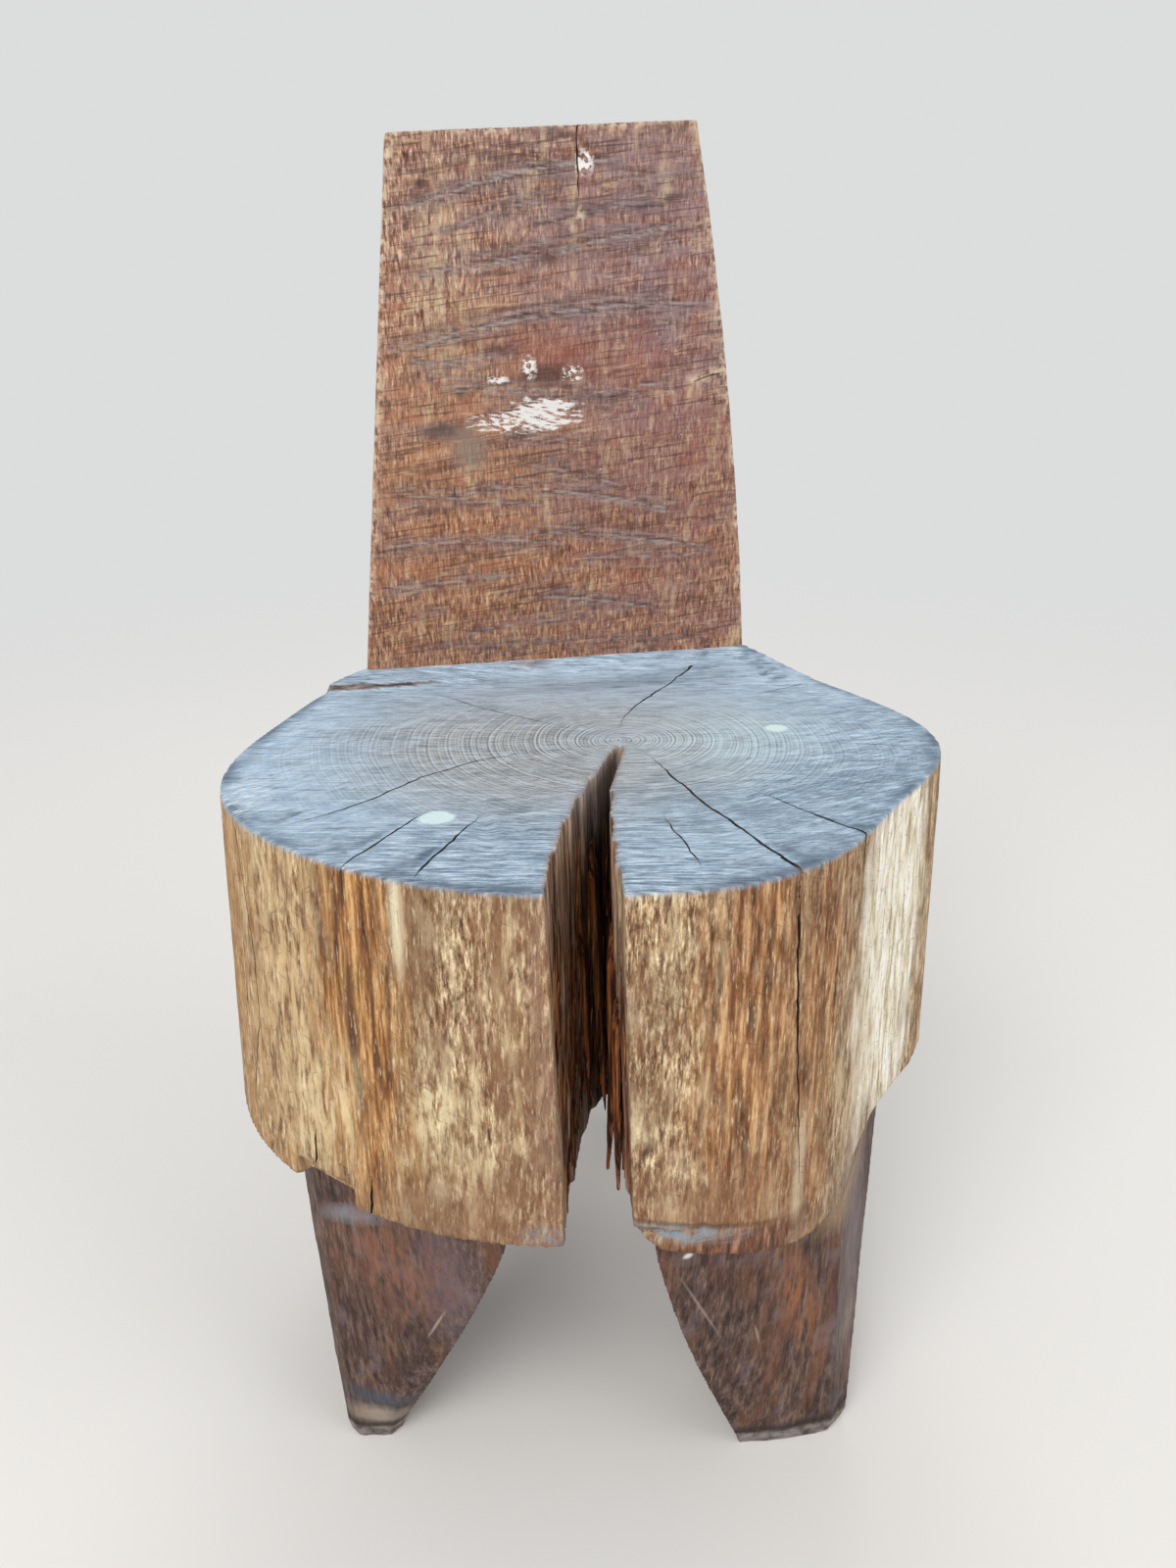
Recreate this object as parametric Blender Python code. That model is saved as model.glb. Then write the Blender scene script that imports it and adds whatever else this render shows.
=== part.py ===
# Low chair hewn from one log: a drum seat with an open drying split, the log's rear
# segment left standing as a back, and four tapered legs sawn out below the seat.
# Metres, +Z up, +Y to the rear; left and right are as seen from the front.
import math

import bmesh
import bpy
from mathutils import Matrix, Vector

# The log: mean radius and its bulges as (bulges per turn, size, direction in degrees).
LOG_RADIUS = 0.1870
LOG_LOBES = ((1, 0.0058, 169), (2, 0.0049, 51), (3, 0.0024, -18), (4, 0.0022, 9), (5, 0.0038, -11),
             (6, 0.0013, -3), (7, 0.0013, -16))
LOG_SIDES = 96
LOG_FLARE = 0.0070  # how much wider to each side the log is at the drum's bottom than at the seat

# The seat drum.
SEAT_HEIGHT = 0.383
DRUM_DEPTH = 0.180
LIP_DROP = 0.030  # the front right of the rim hangs lower
LIP_ANGLE = -57
LIP_SPREAD = 45
HUMP_RADIUS = 0.105  # rough core left under the pith
HUMP_DEPTH = 0.030
FLAT_DROP = 0.175  # from the seat down to the ledge over the flat axed on the right
FLAT_RUNOUT = 0.017  # height over which the flat runs out under the ledge
FLAT_EASE = 0.006
FLAT_TURN = 22  # degrees the flat turns in behind the leg's rear corner
CHIP_WIDTH = 0.012  # lower corner broken away at the right of the split's mouth
CHIP_HEIGHT = 0.013
CHIP_REACH = 0.045
BREAK_HEIGHT = 0.012  # piece broken from the lower rim above the left leg
BREAK_DEPTH = 0.009
BREAK_ANGLES = (-146, -135)
KERF_ANGLES = (-98, -80)  # saw kerf left in the lower rim at the right of the split's mouth
KERF_LIFT = 0.0095  # middle of the kerf above the drum's bottom, at the mouth and at its far end
KERF_LIFT_END = 0.0015
KERF_HEIGHT = 0.0065
KERF_DEPTH = 0.0045
KERF_TAPER = 0.9

# The rise in front of the back, where the saw ran out: a step on the left, a cove on the right.
RISE_LEFT = 0.0055
RISE_RIGHT = 0.0110
STEP_HEIGHT = 0.0042
STEP_SLOPE = 0.0006
STEP_END = 0.42  # share of the back's width where the step dies out
RISE_RUNS = ((0.0, 0.026), (STEP_END, 0.012), (1.0, 0.062))  # (share of the back's width, run)
RISE_POWER = 1.9

# The back slab.
BACK_THICKNESS = 0.052
BACK_EDGE_LEFT = 0.006  # thickness at the foot of each side edge
BACK_EDGE_RIGHT = 0.003
BACK_HEIGHT = 0.319  # from the seat to the higher, right corner
BACK_TOP_WIDTH = 0.176
BACK_TOP_SHIFT = -0.0064
BACK_TOP_SLOPE = 0.010
BACK_SIDE_BULGE = 0.005  # the right edge is a shallow arc
BACK_ARRIS = 0.0015

# The drying split, open from the pith to the front.
PITH = (0.0155, -0.0036)
SPLIT_MOUTH_ANGLE = -101
SPLIT_MOUTH_WIDTH = 0.034
SPLIT_BOW = 0.007
SPLIT_LEAN = 0.007  # sideways shift over the drum's depth
SPLIT_STEP = 0.0022  # height of the torn laminations on its walls
SPLIT_TEAR_START = 0.12  # shares of the split's length where the laminations begin and end
SPLIT_LEFT_STEPS = (0.30, 0.44, 0.60, 0.78)
SPLIT_RIGHT_STEPS = (0.40, 0.57, 0.71, 0.84)

# Drying checks in the seat: (angle from the pith at the start and at the end, start, end, width, depth).
CHECKS = (
    (-70, -77, 0.015, 0.240, 0.0014, 0.030),
    (-60, -60, 0.088, 0.240, 0.0013, 0.024),
    (84, 59, 0.024, 0.160, 0.0013, 0.012),
    (133, 135, 0.025, 0.150, 0.0011, 0.010),
    (-172, -152, 0.053, 0.230, 0.0012, 0.014),
    (-143, -137, 0.137, 0.240, 0.0013, 0.024),
    (-134, -127, 0.122, 0.240, 0.0014, 0.024),
)
CHECK_BEND = 0.7  # below 1 a check turns most near its start
CHECK_RUNOUT = 0.3  # share of its length over which a check closes at an end
CHECK_TAPER = 0.2  # width at a check's root against its width at the seat
CHECK_STEPS = 4
SIDE_CHECK = 0  # which check runs on down the drum's side
SIDE_CHECK_DROP = 0.192
SIDE_CHECK_DRIFT = 5  # degrees round the log on the way down
SIDE_CHECK_DEPTH = 0.008

# The legs. Each corner of a leg's section is given under the seat, as degrees round the log and depth
# below its outline, and on the floor, as x and y from the middle of the foot. Hewn flats join the corners.
# A swell above 1 keeps the leg full before it tapers.
LEGS = {
    "front_left_leg": dict(foot_angle=-150.5, foot_in=0.040, swell=1.15, corners=(
        (-153, 0.009, -0.0205, -0.012), (-146.5, 0.004, -0.0155, -0.0185), (-122, 0.005, 0.004, -0.0215),
        (-111, 0.003, 0.012, -0.015), (-119, 0.080, 0.011, 0.020), (-157, 0.042, -0.020, 0.018))),
    "front_right_leg": dict(foot_angle=-51, foot_in=0.029, swell=1.3, corners=(
        (-91.5, 0.006, -0.0315, -0.024), (-71, 0.012, -0.003, -0.027), (-53, -0.0025, 0.0245, -0.025),
        (-22.3, 0.012, 0.037, -0.015), (-19, 0.056, 0.038, 0.028), (-79, 0.082, -0.026, 0.032))),
    "rear_right_leg": dict(foot_angle=42, foot_in=0.036, swell=1.2, corners=(
        (20, 0.010, 0.033, 0.004), (44, 0.012, 0.018, 0.023), (68, 0.010, -0.004, 0.033),
        (64, 0.084, -0.033, -0.004), (18, 0.054, 0.004, -0.033))),
    "rear_left_leg": dict(foot_angle=139, foot_in=0.036, swell=1.2, corners=(
        (112, 0.010, 0.003, 0.033), (134, 0.012, -0.017, 0.023), (156, 0.010, -0.032, 0.005),
        (162, 0.050, -0.003, -0.033), (117, 0.084, 0.033, -0.005))),
}
FLAT_CORNERS = (2, 3)  # corners of the front right leg whose flat runs on up the drum to the ledge
LEG_SECTIONS = 11
FOOT_BAND = 0.008
FOOT_CHAMFER = 0.0025

# Torn splinters: the wall and lamination each one clings to, its drop from the seat, its size,
# and how far its free lower end curls away from the wall.
SPLINTERS = {
    "left_wall_long_splinter": dict(side=-1, layer=1, top=0.030, length=0.165, thick=0.0030, curl=0.0020),
    "left_wall_short_splinter": dict(side=-1, layer=2, top=0.062, length=0.105, thick=0.0026, curl=0.0020),
    "right_wall_long_splinter": dict(side=1, layer=2, top=0.050, length=0.142, thick=0.0040, curl=0.0070),
    "right_wall_short_splinter": dict(side=1, layer=3, top=0.075, length=0.108, thick=0.0038, curl=0.0030),
}

CLEARANCE = 0.0003
REACH = 0.080  # how far cutters run past the wood

WOODS = {
    "weathered_seat": ((0.32, 0.33, 0.33), 0.85),
    "sawn_back": ((0.24, 0.09, 0.04), 0.70),
    "hewn_leg": ((0.11, 0.045, 0.028), 0.65),
    "torn_heartwood": ((0.16, 0.06, 0.02), 0.80),
}

DRUM_BOTTOM = SEAT_HEIGHT - DRUM_DEPTH


def polar(radius, degrees):
    angle = math.radians(degrees)
    return Vector((radius * math.cos(angle), radius * math.sin(angle)))


def log_radius(degrees):
    radius = LOG_RADIUS
    for count, size, direction in LOG_LOBES:
        radius += size * math.cos(count * math.radians(degrees - direction))
    return radius


def log_point(degrees, inset=0.0):
    return polar(log_radius(degrees) - inset, degrees)


def log_angles():
    return [360 * i / LOG_SIDES for i in range(LOG_SIDES)]


def drum_point(degrees, z, inset=0.0):
    # A point on the drum's side, or below it by the inset.
    flare = LOG_FLARE * math.cos(math.radians(degrees)) ** 2 * (SEAT_HEIGHT - z) / DRUM_DEPTH
    return at_height(log_point(degrees, inset - flare), z)


def window(degrees, centre, spread):
    off = abs((degrees - centre + 180) % 360 - 180)
    return math.cos(math.pi / 2 * off / spread) ** 2 if off < spread else 0.0


def at_height(plan, z):
    return Vector((plan[0], plan[1], z))


def make_wood(name):
    colour, roughness = WOODS[name]
    wood = bpy.data.materials.new(name)
    wood.use_nodes = True
    shader = wood.node_tree.nodes["Principled BSDF"]
    shader.inputs["Base Color"].default_value = (*colour, 1)
    shader.inputs["Roughness"].default_value = roughness
    shader.inputs["Metallic"].default_value = 0.0
    return wood


def new_object(name, mesh_builder, parent, wood=None):
    mesh = bpy.data.meshes.new(name)
    bmesh.ops.recalc_face_normals(mesh_builder, faces=mesh_builder.faces)
    bmesh.ops.triangulate(mesh_builder, faces=mesh_builder.faces, quad_method="FIXED")
    mesh_builder.to_mesh(mesh)
    mesh_builder.free()
    piece = bpy.data.objects.new(name, mesh)
    bpy.context.collection.objects.link(piece)
    piece.parent = parent
    if wood is None:
        piece.hide_render = True
        piece.display_type = "WIRE"
    else:
        mesh.materials.append(wood)
    return piece


def loft(rings):
    # Skins a stack of rings with equal point counts and closes both ends.
    builder = bmesh.new()
    rows = [[builder.verts.new(point) for point in ring] for ring in rings]
    count = len(rows[0])
    for low, high in zip(rows, rows[1:]):
        for i in range(count):
            j = (i + 1) % count
            builder.faces.new((low[i], low[j], high[j], high[i]))
    builder.faces.new(list(reversed(rows[0])))
    builder.faces.new(rows[-1])
    return builder


def boolean(piece, cutter, operation):
    modifier = piece.modifiers.new(operation.lower() + " " + cutter.name, "BOOLEAN")
    modifier.operation = operation
    modifier.solver = "EXACT"
    modifier.object = cutter


# Where the back stands: its flat face is a chord of the log.
BACK_FACE = max(log_point(a).y for a in log_angles()) - BACK_THICKNESS


def chord_end(side):
    # The outermost x on the chord where the log is still as thick as that edge behind the face.
    edge = BACK_EDGE_LEFT if side < 0 else BACK_EDGE_RIGHT
    reached = [log_point(a / 4) for a in range(0, 720)]
    thick = [p.x for p in reached if p.y - BACK_FACE >= edge]
    return max(thick) if side > 0 else min(thick)


def base_height(x):
    # Height of the wood at the foot of the back, from the low left to the high right.
    left, right = chord_end(-1), chord_end(1)
    share = (x - left) / (right - left)
    return SEAT_HEIGHT + RISE_LEFT + (RISE_RIGHT - RISE_LEFT) * share


def rise_run(share):
    # How far in front of the back the wood starts to rise, at a share of the back's width.
    for (near, run), (far, next_run) in zip(RISE_RUNS, RISE_RUNS[1:]):
        if share <= far:
            return run + (next_run - run) * (max(share, near) - near) / (far - near)
    return RISE_RUNS[-1][1]


def seat_cutter(parent):
    # What the saw cleared away above the seat and in front of the back's foot.
    left, right = chord_end(-1), chord_end(1)
    sections = []
    for share in (-0.8, 0.0, STEP_END / 2, STEP_END, 0.6, 0.8, 1.0, 1.8):
        x = left + (right - left) * share
        start = BACK_FACE - rise_run(share)
        step = STEP_HEIGHT * min(max(1 - share / STEP_END, 0.0), 1.0)
        rise = base_height(x) - SEAT_HEIGHT
        section = [(x, -LOG_RADIUS - REACH, SEAT_HEIGHT), (x, start, SEAT_HEIGHT)]
        start += STEP_SLOPE
        for i in range(7):
            t = i / 6
            z = SEAT_HEIGHT + step + (rise - step) * t ** RISE_POWER
            section.append((x, start + (BACK_FACE - start) * t, z))
        section.append((x, LOG_RADIUS + REACH, base_height(x)))
        section.append((x, LOG_RADIUS + REACH, SEAT_HEIGHT + REACH))
        section.append((x, -LOG_RADIUS - REACH, SEAT_HEIGHT + REACH))
        sections.append(section)
    return new_object("seat_saw_cut", loft(sections), parent)


def underside_height(radius, degrees):
    share = min(radius / log_radius(degrees), 1.0)
    hump = 0.5 + 0.5 * math.cos(math.pi * min(radius / HUMP_RADIUS, 1.0))
    return DRUM_BOTTOM - LIP_DROP * share * window(degrees, LIP_ANGLE, LIP_SPREAD) - HUMP_DEPTH * hump


def underside_cutter(parent, name, lowered):
    # Everything below the drum: its upper face is the hewn underside of the seat.
    builder = bmesh.new()
    outer = LOG_RADIUS + REACH
    radii = [HUMP_RADIUS * i / 4 for i in range(1, 5)] + [(HUMP_RADIUS + LOG_RADIUS) / 2, LOG_RADIUS, outer]
    angles = [a + 180 / LOG_SIDES for a in log_angles()[::2]]  # between the log's own edges
    pole = builder.verts.new((0, 0, underside_height(0, 0) - lowered))
    rows = []
    for radius in radii:
        rows.append([builder.verts.new(at_height(polar(radius, a), underside_height(radius, a) - lowered))
                     for a in angles])
    rows.append([builder.verts.new(at_height(polar(outer, a), -REACH)) for a in angles])
    for i in range(len(angles)):
        j = (i + 1) % len(angles)
        builder.faces.new((pole, rows[0][i], rows[0][j]))
        for inner, wider in zip(rows, rows[1:]):
            builder.faces.new((inner[i], wider[i], wider[j], inner[j]))
    builder.faces.new(list(reversed(rows[-1])))
    return new_object(name, builder, parent)


def split_axis(t, z):
    # Middle of the split at share t of its length, at height z, and the direction across it.
    tip = Vector(PITH)
    mouth = log_point(SPLIT_MOUTH_ANGLE)
    along = (mouth - tip).normalized()
    across = Vector((along.y, -along.x))
    lean = SPLIT_LEAN * (SEAT_HEIGHT - z) / DRUM_DEPTH
    middle = tip + (mouth - tip) * t + across * (SPLIT_BOW * 4 * t * (1 - t)) + Vector((lean, 0))
    return middle, across


def split_wall(side, t, z):
    # side is -1 for the left wall and 1 for the right; the walls part evenly towards the mouth.
    middle, across = split_axis(t, z)
    return middle - across * (side * SPLIT_MOUTH_WIDTH / 2 * t)


def wall_stations(side):
    # Shares of the split's length at the ends of each torn lamination.
    steps = SPLIT_LEFT_STEPS if side < 0 else SPLIT_RIGHT_STEPS
    return [SPLIT_TEAR_START] + list(steps) + [1.0]


def wall_line(side, z):
    # The wall in plan: laminations that each end in a small step out from the middle.
    stations = wall_stations(side)
    points = []
    for start, end in zip(stations, stations[1:]):
        points.extend(lamination(side, start, end, z))
    mouth, before = split_wall(side, 1.0, z), split_wall(side, stations[-2], z)
    return points + [mouth + (mouth - before).normalized() * REACH]


def lamination(side, start, end, z):
    # One torn layer in plan: it starts set back and ends proud of the wall's mean line.
    back = split_axis(start, z)[1] * (side * SPLIT_STEP / 2)
    return split_wall(side, start, z) - back, split_wall(side, end, z) + back


def split_cutter(parent):
    rings = []
    for z in (DRUM_BOTTOM - REACH, SEAT_HEIGHT + REACH):
        tip = split_axis(0, z)[0]
        plan = [tip] + wall_line(-1, z) + list(reversed(wall_line(1, z)))
        rings.append([at_height(p, z) for p in plan])
    return new_object("drying_split", loft(rings), parent)


def check_path(check, t):
    # Middle of a check at share t of its length, and its angle from the pith there.
    first_angle, last_angle, start, end = check[:4]
    angle = first_angle + (last_angle - first_angle) * t ** CHECK_BEND
    return Vector(PITH) + polar(start + (end - start) * t, angle), angle


def check_cutter(parent, index):
    # A thin wedge that wanders outwards, deeper as it goes, and closes at both ends.
    width, depth = CHECKS[index][4:]
    top = SEAT_HEIGHT + RISE_RIGHT
    rings = []
    for i in range(CHECK_STEPS + 1):
        t = i / CHECK_STEPS
        middle, angle = check_path(CHECKS[index], t)
        closing = min(1.0, t / CHECK_RUNOUT, (1 - t) / CHECK_RUNOUT)
        half = polar(width / 2, angle + 90) * max(closing, CHECK_TAPER)
        root = SEAT_HEIGHT - max(depth * min(t, (1 - t) / CHECK_RUNOUT), width)
        narrow = half * CHECK_TAPER
        rings.append([at_height(middle - half, top), at_height(middle + half, top),
                      at_height(middle + narrow, root), at_height(middle - narrow, root)])
    return new_object(f"check_{index}", loft(rings), parent)


def side_check_cutter(parent):
    # Where the longest check comes out of the seat's edge it runs on down the drum's side and closes.
    path = [check_path(CHECKS[SIDE_CHECK], i / 100)[0] for i in range(101)]
    angles = [math.degrees(math.atan2(p.y, p.x)) for p in path]
    rim = next(a for p, a in zip(path, angles) if p.length > log_radius(a))
    half = math.degrees(CHECKS[SIDE_CHECK][4] / 2 / LOG_RADIUS)
    rings = []
    for i in range(CHECK_STEPS + 1):
        t = i / CHECK_STEPS
        angle, spread = rim + SIDE_CHECK_DRIFT * t, half * (1 - t * (1 - CHECK_TAPER))
        z = SEAT_HEIGHT + RISE_RIGHT - (SIDE_CHECK_DROP + RISE_RIGHT) * t
        inset = SIDE_CHECK_DEPTH * (1 - t * (1 - CHECK_TAPER))
        narrow = spread * CHECK_TAPER
        section = ((-spread, -inset), (spread, -inset), (narrow, inset), (-narrow, inset))
        rings.append([drum_point(angle + turn, z, depth) for turn, depth in section])
    return new_object("side_check", loft(rings), parent)


def chip_cutter(parent):
    # The corner knocked off the drum's lower edge beside the split, tapering inwards.
    corner = split_wall(1, 1.0, DRUM_BOTTOM)
    along = (corner - split_wall(1, wall_stations(1)[-2], DRUM_BOTTOM)).normalized()
    aside = Vector((-along.y, along.x))
    rings = []
    for run, share in ((CHIP_REACH, 1.0), (-CHIP_REACH, 0.3)):
        middle = corner + along * run
        near, low = -CHIP_WIDTH, -CHIP_HEIGHT - LIP_DROP
        slope = CHIP_HEIGHT / CHIP_WIDTH
        triangle = ((near, low), (near, (CHIP_WIDTH * share - near) * slope),
                    (CHIP_WIDTH * share - low / slope, low))
        rings.append([at_height(middle + aside * u, DRUM_BOTTOM + v) for u, v in triangle])
    return new_object("mouth_chip", loft(rings), parent)


def rim_break_cutter(parent):
    # A shallow bite out of the drum's lower rim.
    first, last = BREAK_ANGLES
    rings = []
    for i in range(5):
        a = first + (last - first) * i / 4
        low, high = DRUM_BOTTOM - BREAK_HEIGHT, DRUM_BOTTOM + BREAK_HEIGHT
        section = ((low, BREAK_DEPTH), (low, -BREAK_DEPTH), (high, -BREAK_DEPTH), (high, BREAK_DEPTH))
        rings.append([drum_point(a, z, inset) for z, inset in section])
    return new_object("rim_break", loft(rings), parent)


def kerf_cutter(parent):
    # A saw kerf in the lower rim, open at the split's mouth and tapering to nothing along the rim.
    first, last = KERF_ANGLES
    rings = []
    for i in range(5):
        t = i / 4
        a = first + (last - first) * t
        z = DRUM_BOTTOM + KERF_LIFT + (KERF_LIFT_END - KERF_LIFT) * t
        half = KERF_HEIGHT / 2 * (1 - KERF_TAPER * t)
        depth = KERF_DEPTH * (1 - KERF_TAPER * t)
        section = ((-half, depth), (-half, -KERF_DEPTH), (half, -KERF_DEPTH), (half, depth))
        rings.append([drum_point(a, z + lift, inset) for lift, inset in section])
    return new_object("saw_kerf", loft(rings), parent)


def flat_cutter(parent):
    # The flat axed on the right below a ledge; it runs on down as the outer face of that leg.
    near, far = [log_point(*LEGS["front_right_leg"]["corners"][i][:2]) for i in FLAT_CORNERS]
    along = (far - near).normalized()
    turned = Matrix.Rotation(math.radians(FLAT_TURN), 2) @ along
    outward = Vector((along.y, -along.x))
    face = [near - along * REACH, far, far + turned * REACH]
    plan = face + [face[2] + outward * REACH, face[0] + outward * REACH]
    ledge = SEAT_HEIGHT - FLAT_DROP
    rings = []
    for z, ease in ((DRUM_BOTTOM - REACH, 0.0), (ledge - FLAT_RUNOUT, 0.0), (ledge, FLAT_EASE)):
        rings.append([at_height(p + outward * ease, z) for p in plan])
    return new_object("right_flat", loft(rings), parent)


def seat_drum(parent, wood):
    levels = (DRUM_BOTTOM - REACH, SEAT_HEIGHT + REACH / 2)
    rings = [[drum_point(a, z) for a in log_angles()] for z in levels]
    drum = new_object("seat_drum", loft(rings), parent, wood)
    boolean(drum, seat_cutter(parent), "DIFFERENCE")
    boolean(drum, underside_cutter(parent, "underside_cut", 0.0), "DIFFERENCE")
    boolean(drum, split_cutter(parent), "DIFFERENCE")
    boolean(drum, chip_cutter(parent), "DIFFERENCE")
    boolean(drum, rim_break_cutter(parent), "DIFFERENCE")
    boolean(drum, flat_cutter(parent), "DIFFERENCE")
    boolean(drum, kerf_cutter(parent), "DIFFERENCE")
    for index in range(len(CHECKS)):
        boolean(drum, check_cutter(parent, index), "DIFFERENCE")
    boolean(drum, side_check_cutter(parent), "DIFFERENCE")
    return drum


def back_outline(inset):
    # The back seen from the front: straight left edge, shallow arc on the right, sloping top.
    left, right = chord_end(-1) + inset, chord_end(1) - inset
    top_left = BACK_TOP_SHIFT - BACK_TOP_WIDTH / 2 + inset
    top_right = BACK_TOP_SHIFT + BACK_TOP_WIDTH / 2 - inset
    top = SEAT_HEIGHT + BACK_HEIGHT - inset
    outline = [(left, base_height(left) + CLEARANCE), (right, base_height(right) + CLEARANCE)]
    for i in range(1, 6):
        t = i / 6
        x = right + (top_right - right) * t + BACK_SIDE_BULGE * 4 * t * (1 - t)
        outline.append((x, base_height(right) + (top - base_height(right)) * t))
    return outline + [(top_right, top), (top_left, top - BACK_TOP_SLOPE)]


def back_slab(parent, wood):
    # The log's rear segment, trimmed to the outline of the back with its front arrises taken off.
    segment = [log_point(a) for a in log_angles() if log_point(a).y > BACK_FACE]
    segment.insert(0, Vector((LOG_RADIUS, BACK_FACE - REACH)))
    segment.append(Vector((-LOG_RADIUS, BACK_FACE - REACH)))
    levels = (SEAT_HEIGHT - REACH, SEAT_HEIGHT + BACK_HEIGHT + REACH)
    slab = new_object("back_slab", loft([[at_height(p, z) for p in segment] for z in levels]), parent, wood)
    sections = ((BACK_FACE, BACK_ARRIS), (BACK_FACE + BACK_ARRIS, 0.0), (LOG_RADIUS + REACH, 0.0))
    trim = loft([[(x, y, z) for x, z in back_outline(inset)] for y, inset in sections])
    boolean(slab, new_object("back_trim", trim, parent), "INTERSECT")
    return slab


def leg_section(leg, t, z, chamfer=0.0):
    # Cross-section at share t of the way from the log's outline (0) to the foot (1).
    foot = log_point(leg["foot_angle"], leg["foot_in"])
    ring = []
    for degrees, inset, x, y in leg["corners"]:
        stand = Vector((x, y))
        stand -= stand.normalized() * chamfer
        ring.append(at_height(log_point(degrees, inset).lerp(foot + stand, t), z))
    return ring


def hewn_leg(name, leg, parent, wood, below_drum):
    top = DRUM_BOTTOM + FOOT_BAND
    rings = [leg_section(leg, 1.0, 0.0, FOOT_CHAMFER)]
    for i in range(LEG_SECTIONS):
        share = 1 - i / (LEG_SECTIONS - 1)
        rings.append(leg_section(leg, share ** leg["swell"], top + (FOOT_BAND - top) * share))
    piece = new_object(name, loft(rings), parent, wood)
    boolean(piece, below_drum, "INTERSECT")
    return piece


def splinter(name, spec, parent, wood):
    # A torn strip lying on one lamination of a split wall and drawn out to a point below.
    side = spec["side"]
    stations = wall_stations(side)
    start, end = stations[spec["layer"]], stations[spec["layer"] + 1]
    rings = []
    for share, width, thin in ((0.0, 0.35, 0.5), (0.12, 0.80, 1.0), (0.55, 0.72, 1.0), (0.82, 0.45, 0.8),
                               (1.0, 0.10, 0.3)):
        z = SEAT_HEIGHT - spec["top"] - spec["length"] * share
        first, last = lamination(side, start, end, z)
        run = (last - first).normalized()
        inward = Vector((run.y, -run.x)) * side
        middle = (first + last) / 2 + inward * (CLEARANCE + spec["curl"] * share ** 3)
        half = run * ((last - first).length * width / 2)
        face = inward * (spec["thick"] * thin)
        ring = [middle - half, middle + half, middle + half * 0.7 + face, middle - half * 0.7 + face]
        rings.append([at_height(p, z) for p in ring])
    return new_object(name, loft(rings), parent, wood)


def build():
    for old in list(bpy.data.objects):
        bpy.data.objects.remove(old)
    # The empty puts the middle of the drum's outline over the origin, on the floor.
    outline = [drum_point(a, DRUM_BOTTOM) for a in log_angles()]
    chair = bpy.data.objects.new("log_axis", None)
    bpy.context.collection.objects.link(chair)
    chair.location.x = -(min(p.x for p in outline) + max(p.x for p in outline)) / 2
    chair.location.y = -(min(p.y for p in outline) + max(p.y for p in outline)) / 2
    seat_drum(chair, make_wood("weathered_seat"))
    back_slab(chair, make_wood("sawn_back"))
    below_drum = underside_cutter(chair, "leg_room", CLEARANCE)
    for name, leg in LEGS.items():
        hewn_leg(name, leg, chair, make_wood("hewn_leg"), below_drum)
    for name, spec in SPLINTERS.items():
        splinter(name, spec, chair, make_wood("torn_heartwood"))


build()
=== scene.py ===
# Looks for a low chair hewn from one log: a weathered drum seat with an open drying split,
# a rough-sawn back and four hewn legs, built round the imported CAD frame.
import math
import random

import bmesh
import bpy
import numpy as np
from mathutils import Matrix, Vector
from mathutils.bvhtree import BVHTree


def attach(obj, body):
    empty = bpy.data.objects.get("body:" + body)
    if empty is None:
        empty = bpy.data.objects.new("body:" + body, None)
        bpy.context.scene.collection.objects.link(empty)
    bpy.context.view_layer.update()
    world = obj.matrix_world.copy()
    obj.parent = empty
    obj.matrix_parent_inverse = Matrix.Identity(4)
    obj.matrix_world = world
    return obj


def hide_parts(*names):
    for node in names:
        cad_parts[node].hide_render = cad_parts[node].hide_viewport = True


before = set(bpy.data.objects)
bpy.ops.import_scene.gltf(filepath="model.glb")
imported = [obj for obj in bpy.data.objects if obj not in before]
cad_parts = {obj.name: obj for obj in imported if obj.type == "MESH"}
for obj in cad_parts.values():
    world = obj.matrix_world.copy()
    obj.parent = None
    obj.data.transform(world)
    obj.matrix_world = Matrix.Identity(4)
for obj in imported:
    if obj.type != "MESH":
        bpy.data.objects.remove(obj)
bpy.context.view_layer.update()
scene = bpy.context.scene
scene.view_settings.view_transform = "Standard"
mm = 0.001


def paint(code):
    # sRGB hex to Blender's linear colour
    parts = [int(code[i:i + 2], 16) / 255 for i in (1, 3, 5)]
    return (*[c / 12.92 if c <= 0.04045 else ((c + 0.055) / 1.055) ** 2.4 for c in parts], 1.0)


def addNode(tree, kind, inputs=None, **settings):
    # one node with its settings; an input is a value, a socket, or a node whose first output is meant
    node = tree.nodes.new(kind)
    for name, value in settings.items():
        setattr(node, name, value)
    for name, value in (inputs or {}).items():
        if isinstance(value, bpy.types.Node):
            value = value.outputs[0]
        if isinstance(value, bpy.types.NodeSocket):
            tree.links.new(value, node.inputs[name])
        else:
            node.inputs[name].default_value = value
    return node


# Camera, at the height and slant of the photograph's

view = dict(place=(-0.0985, -0.6015, 0.598), slant=68.355, turn=-9.3, lens=27.045)

lens = bpy.data.cameras.new("camera")
lens.sensor_fit = "VERTICAL"
lens.sensor_height = 36
lens.lens = view["lens"]
lens.clip_start = 0.02
camera = bpy.data.objects.new("camera", lens)
camera.location = view["place"]
camera.rotation_euler = (math.radians(view["slant"]), 0, math.radians(view["turn"]))
scene.collection.objects.link(camera)
scene.camera = camera


# Wood materials: stains laid over each other in order, and relief for the bump.
# A stain has one colour, or five tones that a fine noise along the grain picks from dark to light.

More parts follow.
